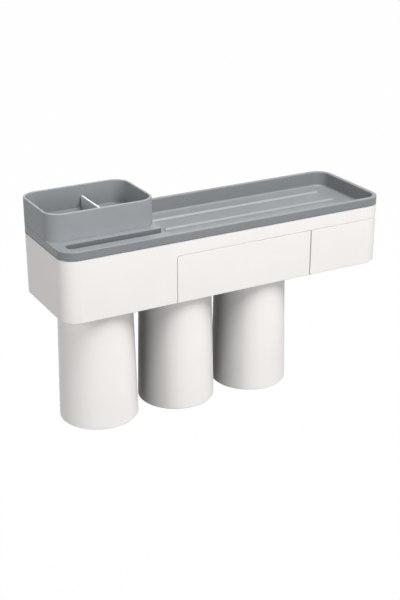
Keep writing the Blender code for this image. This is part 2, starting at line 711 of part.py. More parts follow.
def build_large_drawer(holder):
    bay = drawer_bays()[0]
    origin = Vector((sum(bay) / 2, FRONT, DRAWER_BASE))
    frame = empty("drawer_large_slide", origin, holder)
    bounds = (SEAM_LEFT + SEAM / 2, SEAM_RIGHT - SEAM_BETWEEN / 2, 0.0, DRAWER_TOP - SEAM / 2)
    radii = [FRONT_EDGE_ROUND, FRONT_EDGE_ROUND, FRONT_EDGE_ROUND, FRONT_CORNER_RADIUS]
    profile = arc_profile(FRONT_EDGE_ROUND, FRONT + FRONT_EDGE_ROUND, FRONT_EDGE_ROUND, 270, 180)
    profile.append((0.0, FRONT + FRONT_THICKNESS))
    look = material("warm_white_plastic", WARM_WHITE)
    front = eased_prism("drawer_large_front",
                        lambda inset: inset_rectangle(bounds, radii, inset),
                        profile, frame, look, across='Y')
    front.location = -origin
    drawer_tray("drawer_large_tray", bay, [DRAWER_RADIUS] * 4, (-1, 1), frame, origin)


def build_small_drawer(holder):
    """The small drawer's front is a band that follows the housing's corner round to the side."""
    bay = drawer_bays()[1]
    origin = Vector((sum(bay) / 2, FRONT, DRAWER_BASE))
    frame = empty("drawer_small_slide", origin, holder)
    inner_radius = CORNER_RADIUS - FRONT_THICKNESS

    def band(inset):
        x0 = SEAM_RIGHT + SEAM_BETWEEN / 2 + inset
        x1 = RIGHT - inset
        y0 = FRONT + inset
        y1 = FRONT + RETURN_LENGTH - inset
        thick = FRONT_THICKNESS - 2 * inset
        edge = max(FRONT_EDGE_ROUND - inset, SMALLEST_RADIUS)
        return rounded_outline([(x0, y0, edge), (x1, y0, CORNER_RADIUS - inset), (x1, y1, edge),
                                (x1 - thick, y1, edge),
                                (x1 - thick, y0 + thick, inner_radius + inset),
                                (x0, y0 + thick, edge)])

    top = DRAWER_TOP - SEAM / 2
    profile = arc_profile(FRONT_EDGE_ROUND, FRONT_EDGE_ROUND, FRONT_EDGE_ROUND, 270, 180)
    profile += arc_profile(FRONT_EDGE_ROUND, top - FRONT_EDGE_ROUND, FRONT_EDGE_ROUND, 180, 90)
    look = material("warm_white_plastic", WARM_WHITE)
    front = eased_prism("drawer_small_front", band, profile, frame, look)
    front.location = -origin
    back_radius = CORNER_RADIUS - SHELL - DRAWER_PLAY
    drawer_tray("drawer_small_tray", bay,
                [DRAWER_RADIUS, inner_radius, back_radius, DRAWER_RADIUS], (-1,), frame, origin)


# Cups: turned shells hanging mouth down, with a covered magnet in the base

def cup_profile():
    """Section from the magnet pocket out over the base, down the wall and back up inside."""
    base_round = CUP_BASE_ROUND
    lip = CUP_WALL / 2
    slope = (CUP_MOUTH_RADIUS - CUP_BASE_RADIUS) / CUP_HEIGHT
    island = COVER_POCKET_RADIUS + CUP_WALL
    inner_base = -CUP_BASE
    wall_in = CUP_BASE_RADIUS - CUP_WALL + slope * CUP_BASE
    profile = [(0.0, -CUP_POCKET), (POCKET_RADIUS, -CUP_POCKET), (POCKET_RADIUS, -COVER_LEDGE),
               (COVER_POCKET_RADIUS, -COVER_LEDGE), (COVER_POCKET_RADIUS, 0.0)]
    profile += arc_profile(CUP_BASE_RADIUS - base_round, -base_round, base_round, 90, 0,
                           TINY_STEPS)
    profile += arc_profile(CUP_MOUTH_RADIUS - lip, -CUP_HEIGHT + lip, lip, 0, -180, 4)
    profile += [(wall_in, inner_base - base_round), (wall_in - base_round, inner_base),
                (island, inner_base), (island, -CUP_POCKET - CUP_WALL / 2),
                (island - CUP_WALL, -CUP_POCKET - CUP_WALL), (0.0, -CUP_POCKET - CUP_WALL)]
    return profile


def disc_profile(radius, low, high, chamfer=0.0002):
    return [(0.0, low), (radius - chamfer, low), (radius, low + chamfer),
            (radius, high - chamfer), (radius - chamfer, high), (0.0, high)]


def build_cup(index, holder):
    number = str(index + 1)
    frame = empty("cup_" + number + "_pull", (cup_centre(index), CUP_Y, -SEAT_GAP), holder)
    white = material("cup_plastic", CUP_WHITE)
    steel = material("magnet_steel", MAGNET_STEEL)
    turned("cup_" + number, cup_profile(), CUP_STEPS, frame, white)
    magnet_low = -CUP_POCKET + SEAT_GAP
    turned("cup_magnet_" + number,
           disc_profile(MAGNET_RADIUS, magnet_low, magnet_low + MAGNET_THICKNESS),
           MAGNET_STEPS, frame, steel)
    turned("cup_cover_" + number,
           disc_profile(COVER_RADIUS, -COVER_SINK - COVER_THICKNESS, -COVER_SINK),
           COVER_STEPS, frame, white)


def build_seat_magnet(index, holder):
    number = str(index + 1)
    centre = [(cup_centre(index), CUP_Y)]
    steel = material("magnet_steel", MAGNET_STEEL)
    white = material("warm_white_plastic", WARM_WHITE)
    low = MAGNET_SKIN + SEAT_GAP
    turned("seat_magnet_" + number, disc_profile(MAGNET_RADIUS, low, low + MAGNET_THICKNESS),
           MAGNET_STEPS, holder, steel, centre)
    plug_low = low + MAGNET_THICKNESS + SEAT_GAP
    flange_low = BOSS_TOP + SEAT_GAP
    profile = [(0.0, plug_low), (MAGNET_RADIUS, plug_low), (MAGNET_RADIUS, flange_low),
               (BOSS_RADIUS, flange_low), (BOSS_RADIUS, RETAINER_TOP), (0.0, RETAINER_TOP)]
    turned("magnet_retainer_" + number, profile, MAGNET_STEPS, holder, white, centre)


# Wall rail: flat plate in the housing's window, with a tongue that rises behind its back wall

def build_wall_rail(holder):
    plate_back = -(PAD_THICKNESS + SEAT_GAP)
    plate_front = plate_back - RAIL_THICKNESS
    web = RAIL_TOP - TONGUE_THICKNESS
    tip = RAIL_TOP + TONGUE_HEIGHT
    outline = [(plate_back, RAIL_BOTTOM), (plate_back, RAIL_TOP), (TONGUE_BACK, RAIL_TOP),
               (TONGUE_BACK, tip - TONGUE_CHAMFER), (TONGUE_BACK - TONGUE_CHAMFER, tip),
               (TONGUE_FRONT + TONGUE_CHAMFER, tip), (TONGUE_FRONT, tip - TONGUE_CHAMFER),
               (TONGUE_FRONT, web), (plate_front, web - TONGUE_THICKNESS),
               (plate_front, RAIL_BOTTOM)]
    half = RAIL_LENGTH / 2
    prism("wall_rail", [outline], -half, half, holder, material("rail_plastic", RAIL_GREY),
          across='X')
    pad_half = half - PAD_MARGIN
    outline = rounded_outline(
        [(-pad_half, RAIL_BOTTOM + PAD_MARGIN, PAD_MARGIN),
         (pad_half, RAIL_BOTTOM + PAD_MARGIN, PAD_MARGIN),
         (pad_half, RAIL_TOP - PAD_MARGIN, PAD_MARGIN),
         (-pad_half, RAIL_TOP - PAD_MARGIN, PAD_MARGIN)])
    prism("adhesive_pad", [outline], -PAD_THICKNESS, 0.0, holder,
          material("pad_foam", PAD_FOAM), across='Y')


def main():
    clear_scene()
    wall = empty("wall_frame", (0.0, 0.0, -MOUNT_HEIGHT))
    holder = empty("holder_frame", (0.0, 0.0, 0.0), wall)
    build_wall_rail(wall)
    build_housing(holder)
    build_tray_top(holder)
    box_frame, box_centre = build_box(holder)
    build_divider(box_frame, box_centre)
    build_large_drawer(holder)
    build_small_drawer(holder)
    for index in range(CUP_COUNT):
        build_seat_magnet(index, holder)
        build_cup(index, holder)


main()
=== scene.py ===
"""Looks of a wall-hung toothbrush holder: a grey tray and brush box on a white housing with two
drawers and three cups hanging mouth down. Laid out as an add-on, run as a script.
"""
import math

import bmesh
import bpy
from bpy.props import FloatProperty, FloatVectorProperty, IntProperty, PointerProperty
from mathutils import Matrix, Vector


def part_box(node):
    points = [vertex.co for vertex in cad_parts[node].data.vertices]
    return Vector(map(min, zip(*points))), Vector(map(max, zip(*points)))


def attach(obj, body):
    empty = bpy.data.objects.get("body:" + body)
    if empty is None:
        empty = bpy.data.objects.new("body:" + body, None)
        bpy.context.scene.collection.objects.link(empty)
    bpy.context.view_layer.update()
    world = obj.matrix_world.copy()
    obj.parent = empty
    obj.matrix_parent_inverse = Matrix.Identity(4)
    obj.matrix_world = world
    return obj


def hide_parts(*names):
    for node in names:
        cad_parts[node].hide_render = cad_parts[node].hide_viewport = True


bl_info = {
    "name": "Toothbrush Holder Looks",
    "version": (1, 0, 0),
    "blender": (4, 5, 0),
    "location": "3D View > Sidebar > Holder",
    "description": "Models and finishes a wall-hung toothbrush holder over its fixed frame",
    "category": "Object",
}

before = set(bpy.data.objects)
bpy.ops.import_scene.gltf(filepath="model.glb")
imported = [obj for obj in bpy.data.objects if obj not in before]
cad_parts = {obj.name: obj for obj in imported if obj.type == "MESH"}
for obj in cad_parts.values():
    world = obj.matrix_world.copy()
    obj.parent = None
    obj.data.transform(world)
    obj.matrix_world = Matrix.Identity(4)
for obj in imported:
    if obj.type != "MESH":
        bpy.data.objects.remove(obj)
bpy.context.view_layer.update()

HOUSING_LOW, HOUSING_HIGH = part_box("housing")
TRAY_LOW, TRAY_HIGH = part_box("tray_top")
BOX_LOW, BOX_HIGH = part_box("storage_box")
DIVIDER_LOW, DIVIDER_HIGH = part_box("box_divider")
FRONT_LOW, FRONT_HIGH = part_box("drawer_large_front")

# Lengths in metres that more than one place needs
NEAR = 1e-5  # points this close count as in one place
BITE = 0.0006  # how far joined shapes reach into each other
PAST = 0.005  # how far a cutting shape stands out of what it cuts
SLIP = 0.0001  # extra room for the tray's lip in the housing's mouth
BOX_PLAY = 0.0005  # room round the brush box's lower part
PARTITION = 0.0020  # thickness of the housing's partitions and header
HEADER_DROP = 0.00255  # how far the header reaches below the top of the fronts
FINGER_ROOM = 0.0085  # depth of the finger gap behind the fronts
MAGNET_POCKET = 0.0103  # radius of the pockets for the magnets
FLANGE = 0.0012  # thickness of a magnet retainer's flange
RUBBED_EDGE = 0.0004  # rounding of runners, drawer rims and caps
SMALL_EDGE = 0.0003  # rounding of the small pieces
DISC_STEPS = 64  # facets round a magnet, boss or cap


def length(name, description, default):
    return FloatProperty(name=name, description=description, default=default, min=0.0,
                         subtype='DISTANCE', unit='LENGTH', precision=5)


def colour(name, description, default):
    return FloatVectorProperty(name=name, description=description, default=default, min=0.0,
                               max=1.0, size=3, subtype='COLOR')


def angle(name, description, degrees):
    return FloatProperty(name=name, description=description, default=math.radians(degrees),
                         subtype='ANGLE', unit='ROTATION')


def watts(name, place, default):
    return FloatProperty(name=name, description="Power of the lamp " + place, default=default,
                         min=0.0, unit='POWER')


def facets(name, description, default):
    return IntProperty(name=name, description=description, default=default, min=4)


class HolderSizes(bpy.types.PropertyGroup):
    """Sizes that the frame's boxes don't give"""
    corner: length("Corner", "Radius of the holder's upright corners", 0.0165)
    corner_steps: facets("Corner steps", "Facets in an upright corner", 20)
    edge: length("Edge", "Rounding of the moulded outer edges", 0.0008)
    wall: length("Housing wall", "Thickness of the housing's walls and floor", 0.0024)
    fillet: length("Inner fillet", "Fillet between the housing's walls and floor", 0.0010)
    gap: length("Gap", "Clearance between neighbouring pieces", 0.0003)
    hairline: length("Hairline", "Gap under the box's shoulder, where it rests", 0.00005)
    seam: length("Seam", "Gap round the drawer fronts", 0.0005)
    rim: length("Tray rim", "Width of the tray's rim", 0.0045)
    basin: length("Basin depth", "Depth of the basin under the rim", 0.0151)
    basin_fillet: length("Basin fillet", "Fillet at the foot of the basin's walls", 0.0018)
    slot_front: length("Slot place", "Distance from the front to the phone slot", 0.0103)
    slot_width: length("Slot width", "Width of the phone slot", 0.0124)
    slot_end: length("Slot end", "Distance from the left side to the slot's end", 0.0095)
    ridge_width: length("Ridge width", "Width of the basin's ridges", 0.0040)
    ridge_height: length("Ridge height", "Height of the basin's ridges", 0.0020)
    ridge_foot: length("Ridge foot", "Height at which the ridges' slopes start", 0.0003)
    ridge_crest: FloatProperty(name="Ridge crest", description="Part of a ridge's width that its "
                               "level crest takes up", default=0.08, min=0.05, max=1.0)
    box_wall: length("Box wall", "Thickness of the brush box's walls", 0.0024)
    box_step: length("Box step", "Inset of the box's lower part", 0.0060)
    box_foot: length("Box foot", "Rounding at the foot of the box's lower part", 0.0030)
    divider_play: length("Divider play", "Room at the ends of the divider's lower part", 0.0013)
    front: length("Drawer front", "Thickness of the drawer fronts", 0.0026)
    front_edge: length("Front edge", "Rounding of the drawer fronts' edges", 0.0005)
    front_corner: length("Front corner", "Radius of the wide front's upper left corner", 0.0025)
    tray_wall: length("Drawer wall", "Thickness of the drawer trays' walls", 0.0018)
    cup_wall: length("Cup wall", "Thickness of the cups' walls", 0.0020)
    cup_base: length("Cup base", "Thickness of the cups' bases", 0.0025)
    cup_edge: length("Cup edge", "Rounding round the cups' bases", 0.0022)
    cup_base_radius: length("Cup base radius", "Radius of the cups at their bases", 0.0354)
    cup_steps: facets("Cup steps", "Facets round a cup", 128)


class HolderColours(bpy.types.PropertyGroup):
    """Colours of the finishes, in linear light"""
    housing: colour("Housing", "Warm white of the housing and drawers", (0.89, 0.862, 0.84))
    grey: colour("Grey", "Cool grey of the tray", (0.2230, 0.2360, 0.2460))
    box: colour("Box", "Lighter, matter grey of the brush box", (0.303, 0.320, 0.334))
    divider: colour("Divider", "Pale plastic of the box's divider", (0.88, 0.91, 0.92))
    cup: colour("Cup", "White of the cups", (0.925, 0.900, 0.875))
    steel: colour("Steel", "Plating of the magnets", (0.62, 0.62, 0.63))
    rail: colour("Rail", "Plastic of the wall rail", (0.60, 0.60, 0.60))
    pad: colour("Pad", "Foam of the adhesive pad", (0.09, 0.09, 0.09))
    floor: colour("Floor", "Pale floor and backdrop", (0.80, 0.80, 0.80))


class HolderStudio(bpy.types.PropertyGroup):
    """Camera and lamps"""
    camera_place: FloatVectorProperty(name="Camera place", description="Where the camera stands",
                                      default=(-0.50948, -0.96525, 0.38657), size=3,
                                      subtype='TRANSLATION', unit='LENGTH')
    camera_down: angle("Looking down", "Angle under the horizon", 23.141)
    camera_right: angle("Turned right", "Angle from straight on", 28.843)
    lens: FloatProperty(name="Lens", description="Focal length in millimetres", default=67.77)
    top_power: watts("Top", "overhead", 18.2)
    key_power: watts("Key", "high in front", 20.5)
    front_power: watts("Front", "low in front", 11.7)
    right_power: watts("Right", "at the right", 1.8)
    left_power: watts("Left", "at the left", 10.4)
    back_power: watts("Back", "behind the wall", 2.5)
    ambient: FloatProperty(name="Ambient", description="Strength of the light from all round",
                           default=0.0)


# Modelling helpers

def leave_edit():
    bpy.ops.object.mode_set(mode='OBJECT')


def only(piece=None):
    """Leaves the given piece selected and active, in object mode."""
    if bpy.context.object and bpy.context.object.mode != 'OBJECT':
        leave_edit()
    bpy.ops.object.select_all(action='DESELECT')
    if piece:
        piece.select_set(True)
        bpy.context.view_layer.objects.active = piece


def edit_all(piece):
    """Opens the piece in edit mode with everything selected."""
    only(piece)
    bpy.ops.object.mode_set(mode='EDIT')
    bpy.ops.mesh.select_all(action='SELECT')


def settle(name):
    """Names the new primitive and puts its place into its mesh."""
    piece = bpy.context.object
    piece.name = name
    piece.data.name = name
    bpy.ops.object.transform_apply(location=True, rotation=True, scale=True)
    return piece


def block(name, low, high):
    only()
    low, high = Vector(low), Vector(high)
    bpy.ops.mesh.primitive_cube_add(size=1.0, location=(low + high) / 2, scale=high - low)
    return settle(name)


def drum(name, centre, radius, low, high, steps=DISC_STEPS):
    """Upright cylinder about a centre (x, y)."""
    only()
    bpy.ops.mesh.primitive_cylinder_add(vertices=steps, radius=radius, depth=high - low,
                                        location=(*centre, (low + high) / 2))
    return settle(name)


def round_node(node):
    """Centre (x, y), radius, and low and high z of a round CAD node."""
    low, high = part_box(node)
    return ((low.x + high.x) / 2, (low.y + high.y) / 2), (high.x - low.x) / 2, low.z, high.z


def pick(piece, kind, test):
    """Selects the piece's edges or faces that pass the test, in edit mode."""
    only(piece)
    bpy.ops.object.mode_set(mode='EDIT')
    bpy.ops.mesh.select_mode(type=kind)
    bpy.ops.mesh.select_all(action='DESELECT')
    shape = bmesh.from_edit_mesh(piece.data)
    shape.normal_update()
    found = [item for item in (shape.edges if kind == 'EDGE' else shape.faces) if test(item)]
    for item in found:
        item.select_set(True)
    shape.select_flush_mode()
    bmesh.update_edit_mesh(piece.data)
    if not found:
        raise RuntimeError(piece.name + ": nothing to shape here")


def bevel(piece, test, radius, steps):
    pick(piece, 'EDGE', test)
    bpy.ops.mesh.bevel(offset=radius, segments=steps, affect='EDGES')
    leave_edit()


def stretch(factors, about):
    """Scales what is selected in x and y about a place (x, y)."""
    bpy.ops.transform.resize(value=(*factors, 1.0), center_override=(*about, 0.0))


def push(piece, test, margin, rise, factors=None, about=(0.0, 0.0)):
    """Insets the chosen face by a margin, then extrudes it up or down and may stretch it."""
    pick(piece, 'FACE', test)
    if margin:
        bpy.ops.mesh.inset(thickness=margin)
    bpy.ops.mesh.extrude_region_move(TRANSFORM_OT_translate={"value": (0.0, 0.0, rise)})
    if factors:
        stretch(factors, about)
    leave_edit()


def sink(piece, test, margin, depth):
    """Insets the chosen face by a margin and lowers it, so that a slope leads down to it."""
    pick(piece, 'FACE', test)
    bpy.ops.mesh.inset(thickness=margin)
    bpy.ops.transform.translate(value=(0.0, 0.0, -depth))
    leave_edit()


def placed(**where):
    """Test for edges or faces that lie at the given coordinates, such as x=0.1, z=0.2."""
    return lambda item: all(abs(getattr(vert.co, axis) - value) < NEAR
                            for vert in item.verts for axis, value in where.items())


def level_at(height):
    return placed(z=height)


def span(edge, axis):
    """How far the edge reaches along x, y or z."""
    return abs(getattr(edge.verts[0].co, axis) - getattr(edge.verts[1].co, axis))


def upright(edge):
    return max(span(edge, 'x'), span(edge, 'y')) < NEAR


def standing_at(*places):
    """Test for upright edges that stand at one of the places (x, y)."""
    return lambda edge: upright(edge) and any(
        (edge.verts[0].co.xy - Vector(place)).length < 2 * NEAR for place in places)


def facing(direction, height=None):
    """Test for faces that look along a direction, at a height if one is given."""
    aim = Vector(direction)
    return lambda face: face.normal.dot(aim) > 0.99 and (height is None or level_at(height)(face))


def rim_at(height):
    """Test for the creased edges at a height."""
    return lambda edge: (level_at(height)(edge) and len(edge.link_faces) == 2
                         and edge.calc_face_angle(0.0) > 0.7)


def combine(piece, tools, operation):
    """Joins the tools to the piece or cuts them out of it."""
    for tool in tools:
        change = piece.modifiers.new(tool.name, 'BOOLEAN')
        change.operation = operation
        change.object = tool
        change.solver = 'EXACT'
        only(piece)
        bpy.ops.object.modifier_apply(modifier=change.name)
        bpy.data.objects.remove(tool, do_unlink=True)


def rounded_block(name, low, high, radius, steps):
    piece = block(name, low, high)
    bevel(piece, upright, radius, steps)
    return piece


def small_disc(name, node):
    """Disc in place of a round CAD node, with both its edges rounded."""
    centre, radius, low, high = round_node(node)
    piece = drum(name, centre, radius, low, high)
    bevel(piece, lambda edge: level_at(high)(edge) or level_at(low)(edge), SMALL_EDGE, 2)
    return piece


def dress(piece, look, body, slot, *nodes):
    """Smooths a finished piece, gives it its material and puts it on its body."""
    edit_all(piece)
    bpy.ops.mesh.remove_doubles(threshold=2e-6)
    bpy.ops.mesh.normals_make_consistent(inside=False)
    leave_edit()
    piece.data.materials.clear()
    piece.data.materials.append(look)
    bpy.ops.object.shade_smooth_by_angle(angle=math.radians(35.0))
    even = piece.modifiers.new("even_shading", 'WEIGHTED_NORMAL')
    even.weight = 80
    even.keep_sharp = True
    bpy.ops.object.modifier_apply(modifier=even.name)
    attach(piece, body)
    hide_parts(*nodes)


# Node helpers

def feed(tree, node, inputs):
    """Links each input of the node to an output, or sets it where the value is a plain one."""
    for label, value in inputs.items():
        if isinstance(value, bpy.types.NodeSocket):
            tree.links.new(value, node.inputs[label])
        else:
            node.inputs[label].default_value = value


def add(tree, kind, inputs, **settings):
    """Adds a shader node with its settings, feeds its inputs and returns its outputs."""
    node = tree.nodes.new('ShaderNode' + kind)
    for name, value in settings.items():
        setattr(node, name, value)
    feed(tree, node, inputs)
    return node.outputs


def new_group(name, values, outputs):
    """Node group with a vector and some values going in; returns it with its two ends."""
    group = bpy.data.node_groups.new(name, 'ShaderNodeTree')
    group.interface.new_socket("Vector", in_out='INPUT', socket_type='NodeSocketVector')
    for label, default in values.items():
        socket = group.interface.new_socket(label, in_out='INPUT', socket_type='NodeSocketFloat')
        socket.default_value = default
    for label in outputs:
        group.interface.new_socket(label, in_out='OUTPUT', socket_type='NodeSocketFloat')
    return group, group.nodes.new('NodeGroupInput').outputs, group.nodes.new('NodeGroupOutput')


def math_node(tree, operation, first, second):
    return add(tree, 'Math', {0: first, 1: second}, operation=operation)['Value']


def weighed(tree, first, second, share):
    """Sum of two values, with the first one's share; the second one has the rest."""
    return math_node(tree, 'ADD', math_node(tree, 'MULTIPLY', first, share),
                     math_node(tree, 'MULTIPLY', second, 1.0 - share))


def vector_math(tree, operation, first, second=(0.0, 0.0, 0.0)):
    outputs = add(tree, 'VectorMath', {0: first, 1: second}, operation=operation)
    return outputs['Value' if operation == 'LENGTH' else 'Vector']


def noise(tree, vector, scale, detail, roughness=0.5):
    return add(tree, 'TexNoise', {'Vector': vector, 'Scale': scale, 'Detail': detail,
                                  'Roughness': roughness})['Fac']


def cells(tree, vector, scale, feature='F1'):
    return add(tree, 'TexVoronoi', {'Vector': vector, 'Scale': scale}, feature=feature)['Distance']


def ramp(tree, value, low, high, start=0.0, end=1.0):
    return add(tree, 'MapRange', {'Value': value, 'From Min': low, 'From Max': high,
                                  'To Min': start, 'To Max': end})['Result']


def squeezed(tree, vector, scale):
    """The vector scaled along x, y and z, for marks that run in one direction."""
    return add(tree, 'Mapping', {'Vector': vector, 'Scale': scale})['Vector']


def scaled(colour_value, factor):
    return [channel * factor for channel in colour_value]


def shaded(tree, base, other, factor):
    """Colour that goes from the base, a colour or a node's output, to another with the factor."""
    base = base if isinstance(base, bpy.types.NodeSocket) else (*base, 1.0)
    return add(tree, 'Mix', {'A': base, 'B': (*other, 1.0), 'Factor': factor},
               data_type='RGBA')['Result']


def bumped(tree, shader, height, distance, strength=1.0):
    bump = add(tree, 'Bump', {'Height': height, 'Distance': distance, 'Strength': strength})
    tree.links.new(bump['Normal'], shader.inputs['Normal'])


def new_material(name, colour_name):
    """New material, with its tree, its shader, its object coordinates and its main colour."""
    made = bpy.data.materials.new(name)
    made.use_nodes = True
    tree = made.node_tree
    place = add(tree, 'TexCoord', {})['Object']
    base = list(getattr(bpy.context.scene.holder_colours, colour_name))
    return made, tree, tree.nodes['Principled BSDF'], place, base


# Effects

def moulded_grain():
    """Fine spark-eroded grain over the slow swell of a moulded wall."""
    known = bpy.data.node_groups.get("moulded_grain")
    if known:
        return known
    group, given, leave = new_group("moulded_grain", {"Grain": 2200.0, "Swell": 28.0},
                                    ("Height", "Cloud", "Speck"))
    grain = noise(group, given['Vector'], given['Grain'], 2.0, 0.6)
    cell = cells(group, given['Vector'], given['Grain'], 'SMOOTH_F1')
    swell = noise(group, given['Vector'], given['Swell'], 2.0)
    feed(group, leave, {'Height': weighed(group, grain, cell, 0.6),
                        'Cloud': ramp(group, swell, 0.35, 0.65),
                        'Speck': ramp(group, grain, 0.62, 0.72)})
    return group


def handling_haze():
    """Soft patches and faint streaks that hands and wiping leave in the gloss."""
    known = bpy.data.node_groups.get("handling_haze")
    if known:
        return known
    group, given, leave = new_group("handling_haze", {"Patch": 14.0}, ("Haze",))
    patch = noise(group, given['Vector'], given['Patch'], 3.0, 0.55)
    streak = noise(group, squeezed(group, given['Vector'], (1.0, 1.0, 0.18)), 420.0, 2.0)
    feed(group, leave, {'Haze': weighed(group, ramp(group, patch, 0.3, 0.7), streak, 0.75)})
    return group


def outside_of(tree, vector, middle, half):
    """How far, in x and y, the vector lies outside a rectangle about the middle."""
    across = vector_math(tree, 'MULTIPLY', vector_math(tree, 'SUBTRACT', vector, middle),
                         (1.0, 1.0, 0.0))
    beyond = vector_math(tree, 'SUBTRACT', vector_math(tree, 'ABSOLUTE', across), half)
    return vector_math(tree, 'LENGTH', vector_math(tree, 'MAXIMUM', beyond))


def height_of(tree, vector):
    return add(tree, 'SeparateXYZ', {'Vector': vector})['Z']


# Mask of the painted shade that darkens the brush box low inside, where shade falls.
def low_inside(tree, vector, size):
    """1 on the brush box's slope and inside its lower part, 0 on its walls and on the outside."""
    half = (BOX_HIGH - BOX_LOW) / 2
    seat = TRAY_HIGH.z + size.hairline
    mid_wall = size.corner - size.box_wall / 2
    reach = outside_of(tree, vector, (BOX_LOW + BOX_HIGH) / 2,
                       (half.x - size.corner, half.y - size.corner, 0.0))
    height = height_of(tree, vector)
    wall = ramp(tree, height, seat, seat + 0.0002, mid_wall - size.box_step, mid_wall)
    slope_top = seat + size.box_wall + size.fillet
    return math_node(tree, 'MULTIPLY', math_node(tree, 'LESS_THAN', reach, wall),
                     ramp(tree, height, slope_top - 0.0004, slope_top + 0.0006, 1.0, 0.0))


# Mask of the painted highlight that lightens the basin's ridges.
def on_ridges(tree, vector, size):
    """1 on the slopes and crests of the basin's ridges, 0 elsewhere."""
    margin, front_margin, back_margin = 0.0120, 0.0450, 0.0880
    floor = TRAY_HIGH.z - size.basin
    left, right = BOX_HIGH.x + margin, TRAY_HIGH.x - size.rim - margin
    front, back = TRAY_LOW.y + front_margin, TRAY_LOW.y + back_margin
    reach = outside_of(tree, vector, ((left + right) / 2, (front + back) / 2, 0.0),
                       ((right - left) / 2, (back - front) / 2, 0.0))
    raised = ramp(tree, height_of(tree, vector), floor + 0.0001, floor + 0.0004)
    return math_node(tree, 'MULTIPLY', math_node(tree, 'LESS_THAN', reach, SLIP), raised)


def thrown_light(tree, vector, size):
    """1 for light that the plastic throws on to its neighbours, 0 for what is seen."""
    return add(tree, 'LightPath', {})['Is Diffuse Ray']


# Finishes

# What an effect makes of the colour where its mask is 1: painted shade low inside the brush box,
# the painted highlight along the basin's ridges, and how much light goes on to the neighbours.
EFFECTS = (("painted_low_shade", low_inside), ("painted_ridge_highlight", on_ridges), ("bounce", thrown_light))
PLASTICS = {
    "housing": {"roughness": 0.48, "specular": 0.15, "grain": 2600.0, "depth": 0.00002,
                "tint": 0.975},
    # painted highlight: the ridges' slopes and crests take 1.28 of the grey
    "grey": {"roughness": 0.38, "specular": 0.3, "grain": 1900.0, "depth": 0.00003,
             "tint": 0.93, "painted_ridge_highlight": 1.28},
    # painted shade: low inside, the box takes 0.58 of its colour
    "box": {"roughness": 0.42, "specular": 0.1, "grain": 1900.0, "depth": 0.00003,
            "tint": 0.93, "painted_low_shade": 0.58},
    "cup": {"roughness": 0.45, "specular": 0.12, "grain": 2600.0, "depth": 0.00001,
            "tint": 0.975, "bounce": 0.15},
    "divider": {"roughness": 0.30, "specular": 0.4, "grain": 2600.0, "depth": 0.00001,
                "tint": 0.97},
    "rail": {"roughness": 0.55, "specular": 0.3, "grain": 1500.0, "depth": 0.00004,
             "tint": 0.90},
}


def plastic(name):
    """Moulded plastic: grain in the bump, faint clouds in the colour, haze in the gloss."""
    known = bpy.data.materials.get(name + "_plastic")
    if known:
        return known
    made, tree, shader, place, base = new_material(name + "_plastic", name)
    kind = PLASTICS[name]
    surface = add(tree, 'Group', {'Vector': place, 'Grain': kind["grain"]},
                  node_tree=moulded_grain())
    haze = add(tree, 'Group', {'Vector': place}, node_tree=handling_haze())['Haze']
    clouds = weighed(tree, surface['Cloud'], surface['Speck'], 0.6)
    tinted = shaded(tree, base, scaled(base, kind["tint"]), clouds)
    # Painted shade low in the box and a painted highlight on the ridges go into the colour here.
    for effect, mask in EFFECTS:
        if effect in kind:
            tinted = shaded(tree, tinted, scaled(base, kind[effect]),
                            mask(tree, place, bpy.context.scene.holder_sizes))
    half_haze = 0.05
    gloss = ramp(tree, haze, 0.0, 1.0, kind["roughness"] - half_haze,
                 kind["roughness"] + half_haze)
    feed(tree, shader, {'Base Color': tinted, 'Roughness': gloss,
                        'Specular IOR Level': kind["specular"]})
    bumped(tree, shader, surface['Height'], kind["depth"], 0.35)
    return made


def plated_steel():
    """Nickel plating with fine lapping marks and small dull spots."""
    known = bpy.data.materials.get("plated_steel")
    if known:
        return known
    made, tree, shader, place, base = new_material("plated_steel", "steel")
    marks = noise(tree, squeezed(tree, place, (1.0, 0.05, 1.0)), 3000.0, 2.0)
    spots = add(tree, 'Group', {'Vector': place, 'Patch': 220.0}, node_tree=handling_haze())
    feed(tree, shader, {'Base Color': shaded(tree, base, scaled(base, 0.8), spots['Haze']),
                        'Roughness': ramp(tree, marks, 0.3, 0.7, 0.18, 0.34),
                        'Metallic': 1.0})
    return made


def foam():
    """Closed-cell foam: dark, matt and pitted."""
    made, tree, shader, place, base = new_material("pad_foam", "pad")
    pits = ramp(tree, cells(tree, place, 1400.0), 0.1, 0.6)
    feed(tree, shader, {'Base Color': shaded(tree, base, scaled(base, 2.2), pits),
                        'Roughness': ramp(tree, pits, 0.0, 1.0, 0.8, 0.98)})
    bumped(tree, shader, pits, 0.0002)
    return made


# Pieces

